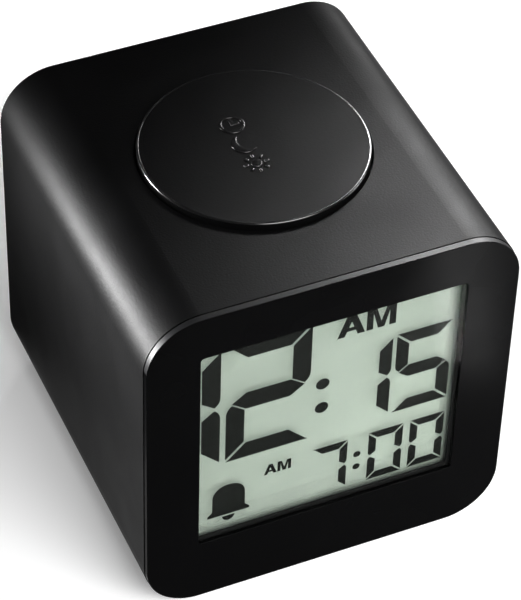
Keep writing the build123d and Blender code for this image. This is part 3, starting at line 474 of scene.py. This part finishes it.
DEEP = (0.0020, 0.0020, 0.0021)
SATIN_BLACK = Moulding("satin black moulding", DEEP, 0.46, 0.04, grain_size=0.0003, grain_depth=0.00003)
BUTTON_BLACK = Moulding("satin black button", DEEP, 0.48, 0.04, grain_size=0.0003, grain_depth=0.00002)
# The polished face finish, also laid on the plate's uprights as painted shade.
PLATE_FACE_AND_SIDE_SHADE = Moulding(
    "gloss black face and painted side shade", (0.0007, 0.0007, 0.0008), 0.25, 0.009, grain_size=0.002, grain_depth=0.0000004
)
PLATE_EDGE = Moulding("frosted black edge", (0.006, 0.006, 0.0065), 0.40, 0.07)
RIM_BLACK = Moulding("polished black rim", DEEP, 0.20, 0.7, grain_depth=0.000001)
# A glossier black for the signs' edges, a little lighter in colour than the button: the lighter colour is a
# painted highlight.
SIGN_EDGE_HIGHLIGHT_BLACK = Moulding("raised sign edge with painted highlight", (0.0030, 0.0030, 0.0031), 0.25, 0.5, grain_depth=0.000002)
COVER_BLACK = Moulding("matt black cover", (0.010, 0.010, 0.0105), 0.52, 0.30)
KEY_GREY = Moulding("dark grey key", (0.030, 0.030, 0.031), 0.45, 0.35)
DISPLAY_INK = Moulding("display ink", (0.004, 0.0045, 0.004), 0.5, 0.03, grain_size=0.0002)
PALE_FILM = Moulding(
    "pale display film", (0.54, 0.587, 0.533), 0.6, 0.15, cloud=0.01, grain_size=0.0002, grain_depth=0.000004
)
FOAM = Moulding("dark foam", (0.006, 0.006, 0.006), 0.9, 0.1, grain_size=0.0005, grain_depth=0.00008)
RESIN = Moulding("chip resin", (0.008, 0.008, 0.008), 0.18, 0.5, grain_size=0.003, grain_depth=0.00002)
RUBBER = Moulding("black rubber", (0.012, 0.012, 0.012), 0.8, 0.2, grain_size=0.0004, grain_depth=0.00003)

FINISHES: dict[str, Finish] = {
    "case_plastic": SATIN_BLACK,
    "gloss_black": PLATE_FACE_AND_SIDE_SHADE,
    "clear_pane": ClearLayer("clear window", (0.97, 0.98, 0.97), Light.COATED),
    "button_plastic": BUTTON_BLACK,
    "dark_foam": FOAM,
    "display_glass": ClearLayer("display glass", (0.985, 0.99, 0.985), Light.BONDED),
    "display_film": PALE_FILM,
    "holder_plastic": Moulding("dark holder plastic", (0.02, 0.02, 0.02), 0.6, 0.3),
    "guide_acrylic": ClearLayer("light guide", (0.9, 0.92, 0.9), Light.POLISHED, 0.15),
    "led_body": Moulding("lamp body", (0.75, 0.70, 0.45), 0.25, 0.5, cloud=0.06),
    "board_green": CircuitBoard("green board", (0.010, 0.080, 0.030), (0.018, 0.120, 0.045)),
    "chip_resin": RESIN,
    "bright_metal": Metal("plated metal", (0.62, 0.62, 0.64), 0.28),
    "capacitor_ceramic": Moulding("fired ceramic", (0.40, 0.29, 0.17), 0.55, 0.3),
    "white_plastic": Moulding("white plastic", (0.72, 0.72, 0.68), 0.45, 0.4, cloud=0.04),
    "rubber": RUBBER,
    "brass": Metal("rolled brass", (0.62, 0.42, 0.14), 0.3),
    "ceramic": Moulding("silvered ceramic", (0.72, 0.70, 0.62), 0.4, 0.4, cloud=0.05),
    "red_wire": Moulding("red insulation", (0.45, 0.015, 0.012), 0.42, 0.4),
    "black_wire": Moulding("black insulation", (0.012, 0.012, 0.012), 0.42, 0.4),
    "ribbon_grey": Moulding("grey ribbon", (0.32, 0.32, 0.33), 0.5, 0.3, cloud=0.06),
}

BACK_FINISHES: dict[str, Finish] = {
    **dict.fromkeys(("rear_cover", "battery_door"), COVER_BLACK),
    **dict.fromkeys(("hour_button", "minute_button", "time_button", "alarm_button", "alarm_knob"), KEY_GREY),
}


def outline_face(shape: Shape, points: list[Point], level: float = 0.0) -> Face:
    """Draws one flat face, in the XY plane, through points across and up, in order round it."""
    return shape.faces.new([shape.verts.new((across, up, level)) for across, up in points])


def flat_disc(shape: Shape, centre: Triple, radius: float, steps: int) -> None:
    """Draws a flat disc, in the XY plane, with as many edges as steps."""
    place = Matrix.Translation(centre)
    bmesh.ops.create_circle(shape, cap_ends=True, segments=steps, radius=radius, matrix=place)


def round_section(shape: Shape, centre: Triple, radius: float, facets: int) -> list[Vert | Edge]:
    """Draws an upright circle that faces along Y, to be spun about an upright axis.

    Args:
        shape: the empty mesh to draw in.
        centre: the circle's middle.
        radius: its radius.
        facets: how many edges it has.

    Returns:
        Its corners and edges.
    """
    place = Matrix.Translation(centre) @ Matrix.Rotation(math.pi / 2, 4, "X")
    made = bmesh.ops.create_circle(shape, segments=facets, radius=radius, matrix=place)
    return [*made["verts"], *shape.edges]


def round_corners(shape: Shape, corners: list[Vert], radius: float, steps: int) -> None:
    """Rounds some corners of a flat face.

    Args:
        shape: the mesh that holds the face.
        corners: the corners to round.
        radius: how far along each side the rounding starts.
        steps: edges in each rounding.
    """
    bmesh.ops.bevel(
        shape,
        geom=corners,
        offset=radius,
        offset_type="OFFSET",
        segments=steps,
        profile=ROUND_PROFILE,
        affect="VERTICES",
        material=-1,
    )


def thicken(shape: Shape, depth: float) -> None:
    """Extrudes every face of a flat drawing along +Z, by a depth."""
    made = bmesh.ops.extrude_face_region(shape, geom=list(shape.faces), use_keep_orig=True)["geom"]
    bmesh.ops.translate(shape, vec=(0, 0, depth), verts=[part for part in made if isinstance(part, Vert)])


def stand_up(shape: Shape, depth: float) -> None:
    """Turns a drawing in the XY plane to face the front: Y becomes Z, and Z goes back from a depth."""
    turn = Matrix(((1, 0, 0, 0), (0, 0, 1, depth), (0, 1, 0, 0), (0, 0, 0, 1)))
    bmesh.ops.transform(shape, matrix=turn, verts=shape.verts)


def stamp(shape: Shape, added: Shape) -> None:
    """Adds one mesh to another and frees it.

    Args:
        shape: the mesh that grows.
        added: the mesh that it takes in.
    """
    mesh = bpy.data.meshes.new("stamp")
    added.to_mesh(mesh)
    added.free()
    shape.from_mesh(mesh)
    bpy.data.meshes.remove(mesh)


def placed(name: str, shape: Shape, finishes: list[Finish]) -> bpy.types.Object:
    """Turns a shape in metres into an object of the scene.

    Args:
        name: the object's name.
        shape: its mesh, freed here.
        finishes: its materials, in the order of its faces' material numbers.

    Returns:
        The object.
    """
    mesh = bpy.data.meshes.new(name)
    shape.to_mesh(mesh)
    shape.free()
    for finish in finishes:
        mesh.materials.append(finish.material())
    made = bpy.data.objects.new(name, mesh)
    bpy.context.scene.collection.objects.link(made)
    return made


def piece(name: str, shape: Shape, body: Body, finishes: list[Finish]) -> bpy.types.Object:
    """Turns a shape in millimetres into a piece of the clock.

    Args:
        name: the piece's name.
        shape: its mesh, freed here.
        body: the body that it rides on.
        finishes: its materials, in the order of its faces' material numbers.

    Returns:
        The piece.
    """
    bmesh.ops.remove_doubles(shape, verts=shape.verts, dist=WELD)
    bmesh.ops.recalc_face_normals(shape, faces=shape.faces)
    bmesh.ops.scale(shape, vec=(MM, MM, MM), verts=shape.verts)
    made = placed(name, shape, finishes)
    made.data.shade_smooth()
    made.data.set_sharp_from_angle(angle=SMOOTH_ANGLE)
    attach(made, body.value)
    LOG.info("%s: %d faces on %s", name, len(made.data.polygons), body.value)
    return made


@dataclass
class FrontPlate:
    """The gloss front plate, with a polished face, a frosted top, foot and corners, and uprights in the
    darker face finish as painted shade.
    """

    radius: float = 8.3
    window_corner: float = 0.6
    flange: float = 1.0
    flange_depth: float = 0.4
    soft_edge: float = 0.08
    corner_steps: int = 16
    window_steps: int = 4
    seat_steps: int = 1
    square: float = 0.01

    def loop(
        self, shape: Shape, box: list[Vector], grow: float, radius: float, steps: int, level: float
    ) -> list[Edge]:
        """Draws a rounded rectangle as a closed line.

        Args:
            shape: the mesh to draw in.
            box: the lowest and highest corners that it follows.
            grow: how far outside them it runs.
            radius: the radius of its corners.
            steps: edges in each corner.
            level: depth behind the front face.

        Returns:
            The line's edges.
        """
        low, high = box
        left, right = low.x - grow, high.x + grow
        foot, head = low.z - grow, high.z + grow
        face = outline_face(shape, [(left, foot), (right, foot), (right, head), (left, head)], level)
        old = set(shape.edges) - set(face.edges)
        round_corners(shape, list(face.verts), radius, steps)
        made = [edge for edge in shape.edges if edge not in old]
        faces = [face for face in shape.faces if all(edge in made for edge in face.edges)]
        bmesh.ops.delete(shape, geom=faces, context="FACES_ONLY")
        return made

    def build(self) -> None:
        """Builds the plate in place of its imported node."""
        plate = [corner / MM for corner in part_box("front_plate")]
        window = [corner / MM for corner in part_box("display_window")]
        front_level, thickness = plate[0].y, plate[1].y - plate[0].y
        step = thickness - self.flange_depth
        soft, flange, corner = self.soft_edge, self.flange, self.window_corner
        shape = bmesh.new()
        front = self.loop(shape, plate, -soft, self.radius - soft, self.corner_steps, 0.0)
        side = self.loop(shape, plate, 0.0, self.radius, self.corner_steps, soft)
        back = self.loop(shape, plate, 0.0, self.radius, self.corner_steps, thickness)
        lip = self.loop(shape, window, soft - flange, corner + soft, self.window_steps, 0.0)
        wall = self.loop(shape, window, -flange, corner, self.window_steps, soft)
        ledge = self.loop(shape, window, -flange, corner, self.window_steps, step)
        seat = self.loop(shape, window, 0.0, soft, self.seat_steps, step)
        seat_back = self.loop(shape, window, 0.0, soft, self.seat_steps, thickness)
        for first, second in ((front, side), (side, back), (lip, wall), (wall, ledge), (seat, seat_back)):
            bmesh.ops.bridge_loops(shape, edges=first + second)
        for first, second in ((front, lip), (ledge, seat), (seat_back, back)):
            bmesh.ops.triangle_fill(shape, edges=first + second, use_beauty=True)
        bmesh.ops.recalc_face_normals(shape, faces=shape.faces)
        rim = set(side + back)
        # The uprights of the band take the darker face finish as painted shade; its top, foot and corners
        # take the lighter frosted finish.
        for face in shape.faces:
            on_side = abs(face.normal.z) < self.square and any(edge in rim for edge in face.edges)
            face.material_index = int(on_side and abs(face.normal.x) < 1 - self.square)
        stand_up(shape, front_level)
        made = piece("front_plate_gloss", shape, Body.CLOCK, [PLATE_FACE_AND_SIDE_SHADE, PLATE_EDGE])
        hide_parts("front_plate")


@dataclass(frozen=True)
class SegmentFigure:
    """A seven-segment figure, its bars lettered a to f clockwise from the top, and g across the middle."""

    left: float
    right: float
    stroke: float
    lit: str
    gap: float = 0.42
    tip_share: float = 0.33
    round_share: float = 0.30
    blunt_share: float = 0.12
    round_steps: int = 6

    def bar(self, letter: str, base: float, top: float) -> tuple[list[Point], list[int]]:
        """Works out one bar.

        Args:
            letter: the bar's letter.
            base: the foot of the figure, lowered by half a gap.
            top: its head, raised by half a gap.

        Returns:
            The bar's corners, and the numbers of those that are rounded.
        """
        stroke = self.stroke + self.gap
        left, right = self.left - self.gap / 2, self.right + self.gap / 2
        near, far, under = left + stroke, right - stroke, top - stroke
        middle, half, tip = (base + top) / 2, stroke / 2, stroke * self.tip_share
        if letter == "g":
            lower = [(left + tip, middle), (near, middle - half), (far, middle - half)]
            upper = [(right - tip, middle), (far, middle + half), (near, middle + half)]
            return lower + upper, []
        if letter in "ad":
            corners, rounded = [(left, top), (near, under), (far, under), (right, top)], [0, 3]
        else:
            corners, rounded = [(far, under), (right, top), (right, middle + tip)], [1, 2]
            corners += [(right - tip, middle), (far, middle + half)]
        if letter in "ef":
            corners = [(self.left + self.right - across, up) for across, up in corners]
        if letter in "cde":
            corners = [(across, base + top - up) for across, up in corners]
        return corners, rounded

    def draw(self, shape: Shape, base: float, top: float) -> None:
        """Draws the lit bars as flat faces.

        Args:
            shape: the mesh to draw in.
            base: the foot of the figure.
            top: its head.
        """
        for letter in self.lit:
            corners, rounded = self.bar(letter, base - self.gap / 2, top + self.gap / 2)
            bar_shape = bmesh.new()
            face = outline_face(bar_shape, corners)
            turned = [face.verts[index] for index in rounded]
            share = self.blunt_share if letter in "ad" else self.round_share
            if turned:
                round_corners(bar_shape, turned, self.stroke * share, self.round_steps)
            rim = bmesh.ops.inset_individual(
                bar_shape, faces=bar_shape.faces, thickness=self.gap / 2, use_even_offset=True
            )
            bmesh.ops.delete(bar_shape, geom=rim["faces"], context="FACES")
            stamp(shape, bar_shape)


@dataclass(frozen=True)
class FigureRow:
    """Figures that share a foot and a head."""

    name: str
    base: float
    top: float
    figures: tuple[SegmentFigure, ...]


@dataclass(frozen=True)
class MorningMark:
    """The two plain capitals that mark the hours before noon, fitted to a box."""

    name: str
    left: float
    right: float
    foot: float
    head: float
    first_share: float = 0.475
    gap_share: float = 0.02
    foot_share: float = 0.27
    peak_share: float = 0.30
    bar_low: float = 0.22
    bar_high: float = 0.39
    stem_share: float = 0.225
    shoulder_share: float = 0.315
    valley_share: float = 0.22
    valley_high: float = 0.30
    notch_high: float = 0.72

    def first(self) -> tuple[list[Point], list[Point]]:
        """Works out the first capital.

        Returns:
            Its outline and its inner corners, each from 0 to 1.
        """
        foot, peak = self.foot_share, self.peak_share
        lean = (1 - peak) / 2
        low, high = foot + self.bar_low * lean, foot + self.bar_high * lean
        outline = [(0, 0), (foot, 0), (low, self.bar_low), (1 - low, self.bar_low), (1 - foot, 0), (1, 0)]
        outline += [(1 - lean, 1), (lean, 1)]
        inside = [(high, self.bar_high), (1 - high, self.bar_high), (0.5, (0.5 - foot) / lean)]
        return outline, inside

    def second(self) -> list[Point]:
        """Works out the second capital.

        Returns:
            Its outline, from 0 to 1.
        """
        stem, shoulder, half = self.stem_share, self.shoulder_share, self.valley_share / 2
        right = [(0.5 + half, 0), (1 - stem, self.notch_high), (1 - stem, 0), (1, 0), (1, 1)]
        right += [(1 - shoulder, 1), (0.5, self.valley_high)]
        left = [(1 - across, up) for across, up in reversed(right[:-1])]
        return right + left

    def draw(self) -> Shape:
        """Draws both capitals as flat faces.

        Returns:
            The drawing, in the XY plane.
        """
        shape = bmesh.new()
        wide, tall = self.right - self.left, self.head - self.foot
        second_start = self.left + wide * (self.first_share + self.gap_share)
        second_wide = self.right - second_start

        def fitted(points: list[Point], start: float, width: float) -> list[Point]:
            """Returns points from 0 to 1 brought to a width and to the mark's height."""
            return [(start + across * width, self.foot + up * tall) for across, up in points]

        edges = []
        for points in self.first():
            face = outline_face(shape, fitted(points, self.left, wide * self.first_share))
            edges += face.edges
            bmesh.ops.delete(shape, geom=[face], context="FACES_ONLY")
        bmesh.ops.triangle_fill(shape, edges=edges, use_beauty=True)
        outline_face(shape, fitted(self.second(), second_start, second_wide))
        return shape


@dataclass
class Display:
    """The figures and signs between the two glasses of the display."""

    ink: float = 0.02
    rows: tuple[FigureRow, ...] = (
        FigureRow(
            "hour_figures",
            26.0,
            48.8,
            (SegmentFigure(-29.4, -16.58, 2.86, "bc"), SegmentFigure(-15.7, -2.75, 2.86, "abged")),
        ),
        FigureRow(
            "minute_figures",
            26.05,
            41.6,
            (SegmentFigure(1.3, 10.02, 2.0, "bc", 0.36), SegmentFigure(10.65, 19.45, 2.0, "afgcd", 0.36)),
        ),
        FigureRow(
            "alarm_figures",
            13.0,
            22.72,
            (
                SegmentFigure(-1.7, 3.8, 1.25, "abc", 0.28),
                SegmentFigure(7.2, 12.76, 1.25, "abcdef", 0.28),
                SegmentFigure(13.9, 19.44, 1.25, "abcdef", 0.28),
            ),
        ),
    )
    dots: tuple[Triple, ...] = (
        (-0.78, 36.2, 1.06),
        (-0.78, 31.4, 1.06),
        (5.42, 19.16, 0.6),
        (5.42, 16.54, 0.6),
    )
    dot_steps: int = 36
    bell_middle: float = -14.98
    bell_foot: float = 14.76
    bell_top: float = 21.04
    bell_half: float = 2.57
    brim_half: float = 3.32
    brim_height: float = 0.45
    flare_height: float = 1.15
    dome_share: float = 0.92
    dome_steps: int = 14
    clapper_radius: float = 1.0
    clapper_level: float = 14.44
    clapper_steps: int = 40
    marks: tuple[MorningMark, ...] = (
        MorningMark("morning_mark", 1.1, 10.2, 44.36, 48.5),
        MorningMark("alarm_morning_mark", -9.5, -5.2, 20.6, 22.64),
    )

    def level(self) -> float:
        """Returns the depth of the ink between the glasses."""
        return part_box("lcd_front_glass")[1].y / MM - self.ink / 2

    def finish(self, name: str, shape: Shape) -> None:
        """Gives flat ink its thickness and makes it a piece.

        Args:
            name: the piece's name.
            shape: flat faces, in the XY plane.
        """
        thicken(shape, self.ink)
        stand_up(shape, self.level())
        made = piece(name, shape, Body.CLOCK, [DISPLAY_INK])
        made.visible_shadow = False

    def build_figures(self) -> None:
        """Builds each row of figures."""
        for row in self.rows:
            shape = bmesh.new()
            for figure in row.figures:
                figure.draw(shape, row.base, row.top)
            self.finish(row.name, shape)

    def build_dots(self) -> None:
        """Builds the dots of both colons."""
        shape = bmesh.new()
        for across, up, radius in self.dots:
            flat_disc(shape, (across, up, 0), radius, self.dot_steps)
        self.finish("colon_dots", shape)

    def build_bell(self) -> None:
        """Builds the bell sign: a dome on a flared brim, and the clapper below."""
        shape = bmesh.new()
        middle, foot, half = self.bell_middle, self.bell_foot, self.bell_half
        brim, flare = foot + self.brim_height, foot + self.flare_height
        side = [(self.brim_half, foot), (self.brim_half, brim), (half, flare), (half, self.bell_top)]
        right = [(middle + across, up) for across, up in side]
        left = [(middle - across, up) for across, up in reversed(side)]
        face = outline_face(shape, right + left)
        top = max(vert.co.y for vert in face.verts)
        dome = [vert for vert in face.verts if vert.co.y == top]
        round_corners(shape, dome, half * self.dome_share, self.dome_steps)
        clapper = bmesh.new()
        centre = (middle, self.clapper_level, 0)
        flat_disc(clapper, centre, self.clapper_radius, self.clapper_steps)
        bmesh.ops.bisect_plane(
            clapper,
            geom=[*clapper.verts, *clapper.edges, *clapper.faces],
            plane_co=centre,
            plane_no=(0, 1, 0),
            clear_outer=True,
        )
        stamp(shape, clapper)
        self.finish("alarm_bell", shape)

    def build_marks(self) -> None:
        """Builds the morning marks."""
        for mark in self.marks:
            self.finish(mark.name, mark.draw())

    def build(self) -> None:
        """Builds everything that the display shows."""
        self.build_figures()
        self.build_dots()
        self.build_bell()
        self.build_marks()


@dataclass
class ButtonSigns:
    """Three small raised signs on the top button: a clock face, a moon and a lamp."""

    across: float = -1.3
    rows: Triple = (5.1, 0.55, -3.95)
    size: float = 3.9
    stroke: float = 0.52
    raised: float = 0.2
    soft_edge: float = 0.13
    facets: int = 3
    flat: float = 0.98
    ring_steps: int = 40
    hand_share: float = 0.29
    hollow_shift: Point = (0.55, 0.25)
    moon_half_turn: float = math.radians(112)
    moon_steps: int = 28
    hollow_steps: int = 20
    tip_weld: float = 0.02
    disc_share: float = 0.22
    disc_steps: int = 28
    rays: int = 8
    ray_stroke: float = 0.42
    ray_near: float = 0.31
    ray_far: float = 0.5

    def clock_face(self, centre: Vector) -> Shape:
        """Draws a ring with two hands.

        Args:
            centre: the middle of the sign.

        Returns:
            The drawing.
        """
        shape = bmesh.new()
        flat_disc(shape, centre, self.size / 2, self.ring_steps)
        inside = list(shape.faces)
        bmesh.ops.inset_individual(shape, faces=inside, thickness=self.stroke, use_even_offset=True)
        bmesh.ops.delete(shape, geom=inside, context="FACES")
        half, reach = self.stroke / 2, self.size * self.hand_share
        hands = [(-half, -half), (reach, -half), (reach, half), (half, half), (half, reach), (-half, reach)]
        outline_face(shape, [(centre.x + across, centre.y + up) for across, up in hands])
        return shape

    def moon(self, centre: Vector) -> Shape:
        """Draws a crescent, as an outer and an inner arc between two tips.

        Args:
            centre: the middle of the outer arc.

        Returns:
            The drawing.
        """
        shape = bmesh.new()
        reach, half_turn = self.size / 2, self.moon_half_turn
        across, up = self.hollow_shift
        hollow = centre + Vector((reach * across, reach * up, 0))
        towards = (hollow - centre).normalized()
        tip = centre + Matrix.Rotation(math.pi - half_turn, 3, "Z") @ towards * reach
        other = centre + Matrix.Rotation(half_turn - math.pi, 3, "Z") @ towards * reach
        outer_arc = (centre, 2 * half_turn, self.moon_steps)
        inner_arc = (hollow, (tip - hollow).angle(other - hollow), self.hollow_steps)
        for middle, turn, steps in (outer_arc, inner_arc):
            start = shape.verts.new(tip)
            bmesh.ops.spin(
                shape, geom=[start], cent=middle, axis=UPWARDS, angle=turn, steps=steps, use_merge=False
            )
        bmesh.ops.remove_doubles(shape, verts=shape.verts, dist=self.tip_weld)
        bmesh.ops.contextual_create(shape, geom=list(shape.edges))
        return shape

    def lamp(self, centre: Vector) -> Shape:
        """Draws a disc with rays round it.

        Args:
            centre: the middle of the sign.

        Returns:
            The drawing.
        """
        shape = bmesh.new()
        flat_disc(shape, centre, self.size * self.disc_share, self.disc_steps)
        half, near, far = self.stroke * self.ray_stroke, self.size * self.ray_near, self.size * self.ray_far
        ray = [(near, -half), (far, -half), (far, half), (near, half)]
        face = outline_face(shape, [(centre.x + across, centre.y + up) for across, up in ray])
        others = self.rays - 1
        bmesh.ops.spin(
            shape,
            geom=[face, *face.edges, *face.verts],
            cent=centre,
            axis=UPWARDS,
            angle=FULL_TURN * others / self.rays,
            steps=others,
            use_duplicate=True,
        )
        return shape

    def soften(self, shape: Shape) -> None:
        """Rounds the upper rims of a sign.

        Args:
            shape: the sign, thick, and standing on the XY plane.
        """
        rims = [
            edge
            for edge in shape.edges
            if all(vert.co.z > self.raised / 2 for vert in edge.verts)
            and edge.is_manifold
            and edge.calc_face_angle() > SMOOTH_ANGLE
        ]
        bmesh.ops.bevel(
            shape,
            geom=rims,
            offset=self.soft_edge,
            segments=self.facets,
            profile=ROUND_PROFILE,
            affect="EDGES",
            material=-1,
        )

    def build(self) -> None:
        """Builds the three signs on the button's top."""
        low, high = (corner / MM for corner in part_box("snooze_button"))
        middle = (low + high) / 2
        signs = {"time_sign": self.clock_face, "sleep_sign": self.moon, "lamp_sign": self.lamp}
        for (name, draw), row in zip(signs.items(), self.rows):
            shape = draw(Vector((middle.x + self.across, middle.y + row, 0)))
            thicken(shape, self.raised)
            bmesh.ops.recalc_face_normals(shape, faces=shape.faces)
            self.soften(shape)
            # Edges take the glossier, lighter black as a painted highlight; flat tops keep the button's
            # black.
            for face in shape.faces:
                face.material_index = int(face.normal.z < self.flat)
            bmesh.ops.translate(shape, vec=(0, 0, high.z), verts=shape.verts)
            piece(name, shape, Body.SNOOZE, [BUTTON_BLACK, SIGN_EDGE_HIGHLIGHT_BLACK])


@dataclass
class ButtonRim:
    """The polished edge round the top button, drawn a hair proud of the button's own rounding."""

    radius: float = 16.87
    edge: float = 0.25
    proud: float = 0.02
    facets: int = 20
    steps: int = 128

    def build(self) -> None:
        """Spins the edge's round section about the button's axis."""
        low, high = (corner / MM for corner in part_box("snooze_button"))
        middle = (low + high) / 2
        shape = bmesh.new()
        place = (middle.x + self.radius - self.edge, middle.y, high.z - self.edge)
        geom = round_section(shape, place, self.edge + self.proud, self.facets)
        bmesh.ops.spin(
            shape, geom=geom, cent=middle, axis=UPWARDS, angle=FULL_TURN, steps=self.steps, use_merge=True
        )
        piece("button_rim", shape, Body.SNOOZE, [RIM_BLACK])


@dataclass
class ReturnSpring:
    """The coil under the top button."""

    wire: float = 0.6
    turns: int = 5
    steps: int = 28
    facets: int = 12
    travel: float = 0.8

    def build(self) -> None:
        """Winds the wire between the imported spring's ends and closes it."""
        low, high = (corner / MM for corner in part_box("snooze_spring"))
        middle = (low + high) / 2
        half, steps = self.wire / 2, self.turns * self.steps
        reach = (high.x - low.x - self.wire) / 2
        climb = (high.z - low.z - self.wire) / steps
        shape = bmesh.new()
        geom = round_section(shape, (middle.x + reach, middle.y, low.z + half), half, self.facets)
        bmesh.ops.spin(
            shape,
            geom=geom,
            cent=middle,
            axis=UPWARDS,
            dvec=(0, 0, climb),
            angle=FULL_TURN * self.turns,
            steps=steps,
            use_merge=False,
        )
        bmesh.ops.holes_fill(shape, edges=[edge for edge in shape.edges if edge.is_boundary])
        made = piece("return_spring", shape, Body.CLOCK, [FINISHES["bright_metal"]])
        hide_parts("snooze_spring")
        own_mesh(made)


@dataclass
class Works:
    """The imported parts, which keep their shape and take a finish from their name or their slot."""

    by_slot: dict[str, Finish]
    by_node: dict[str, Finish]

    def cell(self, node: str) -> Finish:
        """Makes a cell's sleeve, its blue end towards the cell's narrow cap.

        Args:
            node: the cell's name.

        Returns:
            The sleeve.
        """
        low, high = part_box(node)
        ends = (low.x, high.x) if node == "upper_cell" else (high.x, low.x)
        return CellSleeve(f"{node.replace('_', ' ')} sleeve", *ends)

    def build(self) -> None:
        """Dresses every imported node."""
        for row in frame["record"]["subparts"]:
            node, slot = row["node"], row["material_slot"]
            if slot == "cell_can":
                finish = self.cell(node)
            else:
                finish = self.by_node.get(node) or self.by_slot[slot]
            mesh = frame["nodes"][node].data
            mesh.materials.clear()
            mesh.materials.append(finish.material())
            LOG.info("%s: %s", node, finish.name)


@dataclass(frozen=True)
class Lamp:
    """A soft rectangular lamp, in metres and watts."""

    name: str
    place: Triple
    aim: Triple
    wide: float
    tall: float
    power: float
    spread: float = math.pi

    def build(self) -> None:
        """Hangs the lamp."""
        light = bpy.data.lights.new(self.name, "AREA")
        light.shape = "RECTANGLE"
        light.size, light.size_y = self.wide, self.tall
        light.energy, light.spread = self.power, self.spread
        made = bpy.data.objects.new(self.name, light)
        made.location = self.place
        made.rotation_euler = (Vector(self.aim) - Vector(self.place)).to_track_quat("-Z", "Y").to_euler()
        made.visible_camera = False
        bpy.context.scene.collection.objects.link(made)


@dataclass
class Studio:
    """The floor, the grey cards that paint darker reflections, the lamps, the surroundings and the camera.
    """

    floor_half: float = 4.0
    floor_level: float = -0.00005
    floor: Finish = FloorPaint("pale floor", 0.92, 0.25)
    # Grey sheets seen only in reflections: painted dark reflections in the clock's gloss, standing in for
    # shade on the floor.
    card: Finish = Moulding("grey sheet for painted dark reflections", (0.18, 0.18, 0.18), 0.9, 0.05)
    dark_reflection_level: float = 0.0001
    cards: tuple[tuple[Point, ...], ...] = (
        ((-0.049, -0.02), (-0.0345, 0.02), (0.0, 0.115), (-0.10, 0.25), (-0.30, 0.25), (-0.30, -0.02)),
        ((0.072, 0.02), (0.45, 0.02), (0.45, 0.25), (0.13, 0.25), (0.10, 0.085), (0.085, 0.05)),
    )
    surroundings: float = 0.06
    clear_layers: int = 32
    camera_place: Triple = (-0.130647, -0.287137, 0.331040)
    camera_right: Triple = (0.917301, -0.397493, 0.023619)
    camera_up: Triple = (0.259760, 0.642300, 0.721093)
    camera_back: Triple = (-0.301800, -0.655324, 0.692435)
    lens: float = 174.87
    sensor: float = 36.0
    lamps: tuple[Lamp, ...] = (
        Lamp("left edge lamp", (-0.13, 0.06, 0.0395), (-0.026, -0.025, 0.055), 0.06, 0.035, 0.066, BEAM),
        Lamp("left rim lamp", (-0.13, 0.06, 0.076), (-0.026, -0.025, 0.057), 0.06, 0.03, 0.022, BEAM),
        Lamp("right edge lamp", (0.09, 0.04, 0.11), (0.025, -0.025, 0.058), 0.04, 0.04, 0.0175, BEAM),
        Lamp("far edge lamp", (0.15, 0.10, 0.075), (0.026, -0.01, 0.058), 0.12, 0.05, 0.007, BEAM),
        Lamp("top lamp", (0.10, 0.10, 0.17), (0.012, -0.035, 0.058), 0.04, 0.04, 0.016, NARROW_BEAM),
        Lamp("right side lamp", (0.17, -0.03, 0.035), (0.0285, 0.0, 0.03), 0.12, 0.06, 0.03, BEAM),
        Lamp("front lamp", (0.09, -0.52, 0.44), (0.0, 0.0, 0.03), 0.45, 0.45, 6.6),
        Lamp("low lamp", (0.042, -0.0669, 0.012), (0.0245, -0.029, 0.052), 0.008, 0.03, 0.019),
        Lamp("left floor lamp", (0.15, 0.35, 0.25), (0.01, 0.15, 0.0), 0.06, 0.06, 0.04, NARROW_BEAM),
        Lamp("right floor lamp", (0.22, 0.32, 0.25), (0.12, 0.15, 0.0), 0.06, 0.06, 0.05, BEAM),
    )

    def build_floor(self) -> None:
        """Lays the floor, which is not part of the clock."""
        shape = bmesh.new()
        place = Matrix.Translation((0, 0, self.floor_level))
        bmesh.ops.create_grid(shape, x_segments=1, y_segments=1, size=self.floor_half, matrix=place)
        made = placed("floor", shape, [self.floor])

    def build_dark_reflection_sheets(self) -> None:
        """Lays the grey cards beside the picture, where only the clock's gloss shows them, as painted dark
        reflections in its sides.
        """
        for number, corners in enumerate(self.cards):
            shape = bmesh.new()
            outline_face(shape, list(corners), self.dark_reflection_level)
            made = placed(f"card_{number}", shape, [self.card])
            # Hidden from the camera, from shadows and from diffuse light, so that they show only as painted
            # dark reflections.
            made.visible_camera = made.visible_shadow = made.visible_diffuse = False

    def build_surroundings(self) -> None:
        """Makes the surroundings, a plain dim white all round."""
        world = bpy.data.worlds.new("room")
        bpy.context.scene.world = world
        world.use_nodes = True
        background = world.node_tree.nodes["Background"]
        background.inputs["Color"].default_value = (*WHITE, 1.0)
        background.inputs["Strength"].default_value = self.surroundings

    def build_camera(self) -> None:
        """Sets up the camera at the picture's viewing angle."""
        camera = bpy.data.cameras.new("camera")
        camera.lens, camera.sensor_width = self.lens, self.sensor
        made = bpy.data.objects.new("camera", camera)
        columns = Matrix((self.camera_right, self.camera_up, self.camera_back)).transposed()
        made.matrix_world = Matrix.Translation(self.camera_place) @ columns.to_4x4()
        bpy.context.scene.collection.objects.link(made)
        bpy.context.scene.camera = made

    def build(self) -> None:
        """Builds the studio."""
        self.build_floor()
        self.build_dark_reflection_sheets()
        self.build_surroundings()
        for lamp in self.lamps:
            lamp.build()
        self.build_camera()
        bpy.context.scene.view_settings.view_transform = "Standard"
        bpy.context.scene.cycles.transparent_max_bounces = self.clear_layers


def main() -> None:
    """Dresses the clock and sets up its studio."""
    logging.basicConfig(level=logging.INFO, format="%(name)s %(message)s")
    Works(FINISHES, BACK_FINISHES).build()
    FrontPlate().build()
    Display().build()
    ButtonSigns().build()
    ButtonRim().build()
    ReturnSpring().build()
    Studio().build()


if __name__ == "__main__":
    main()
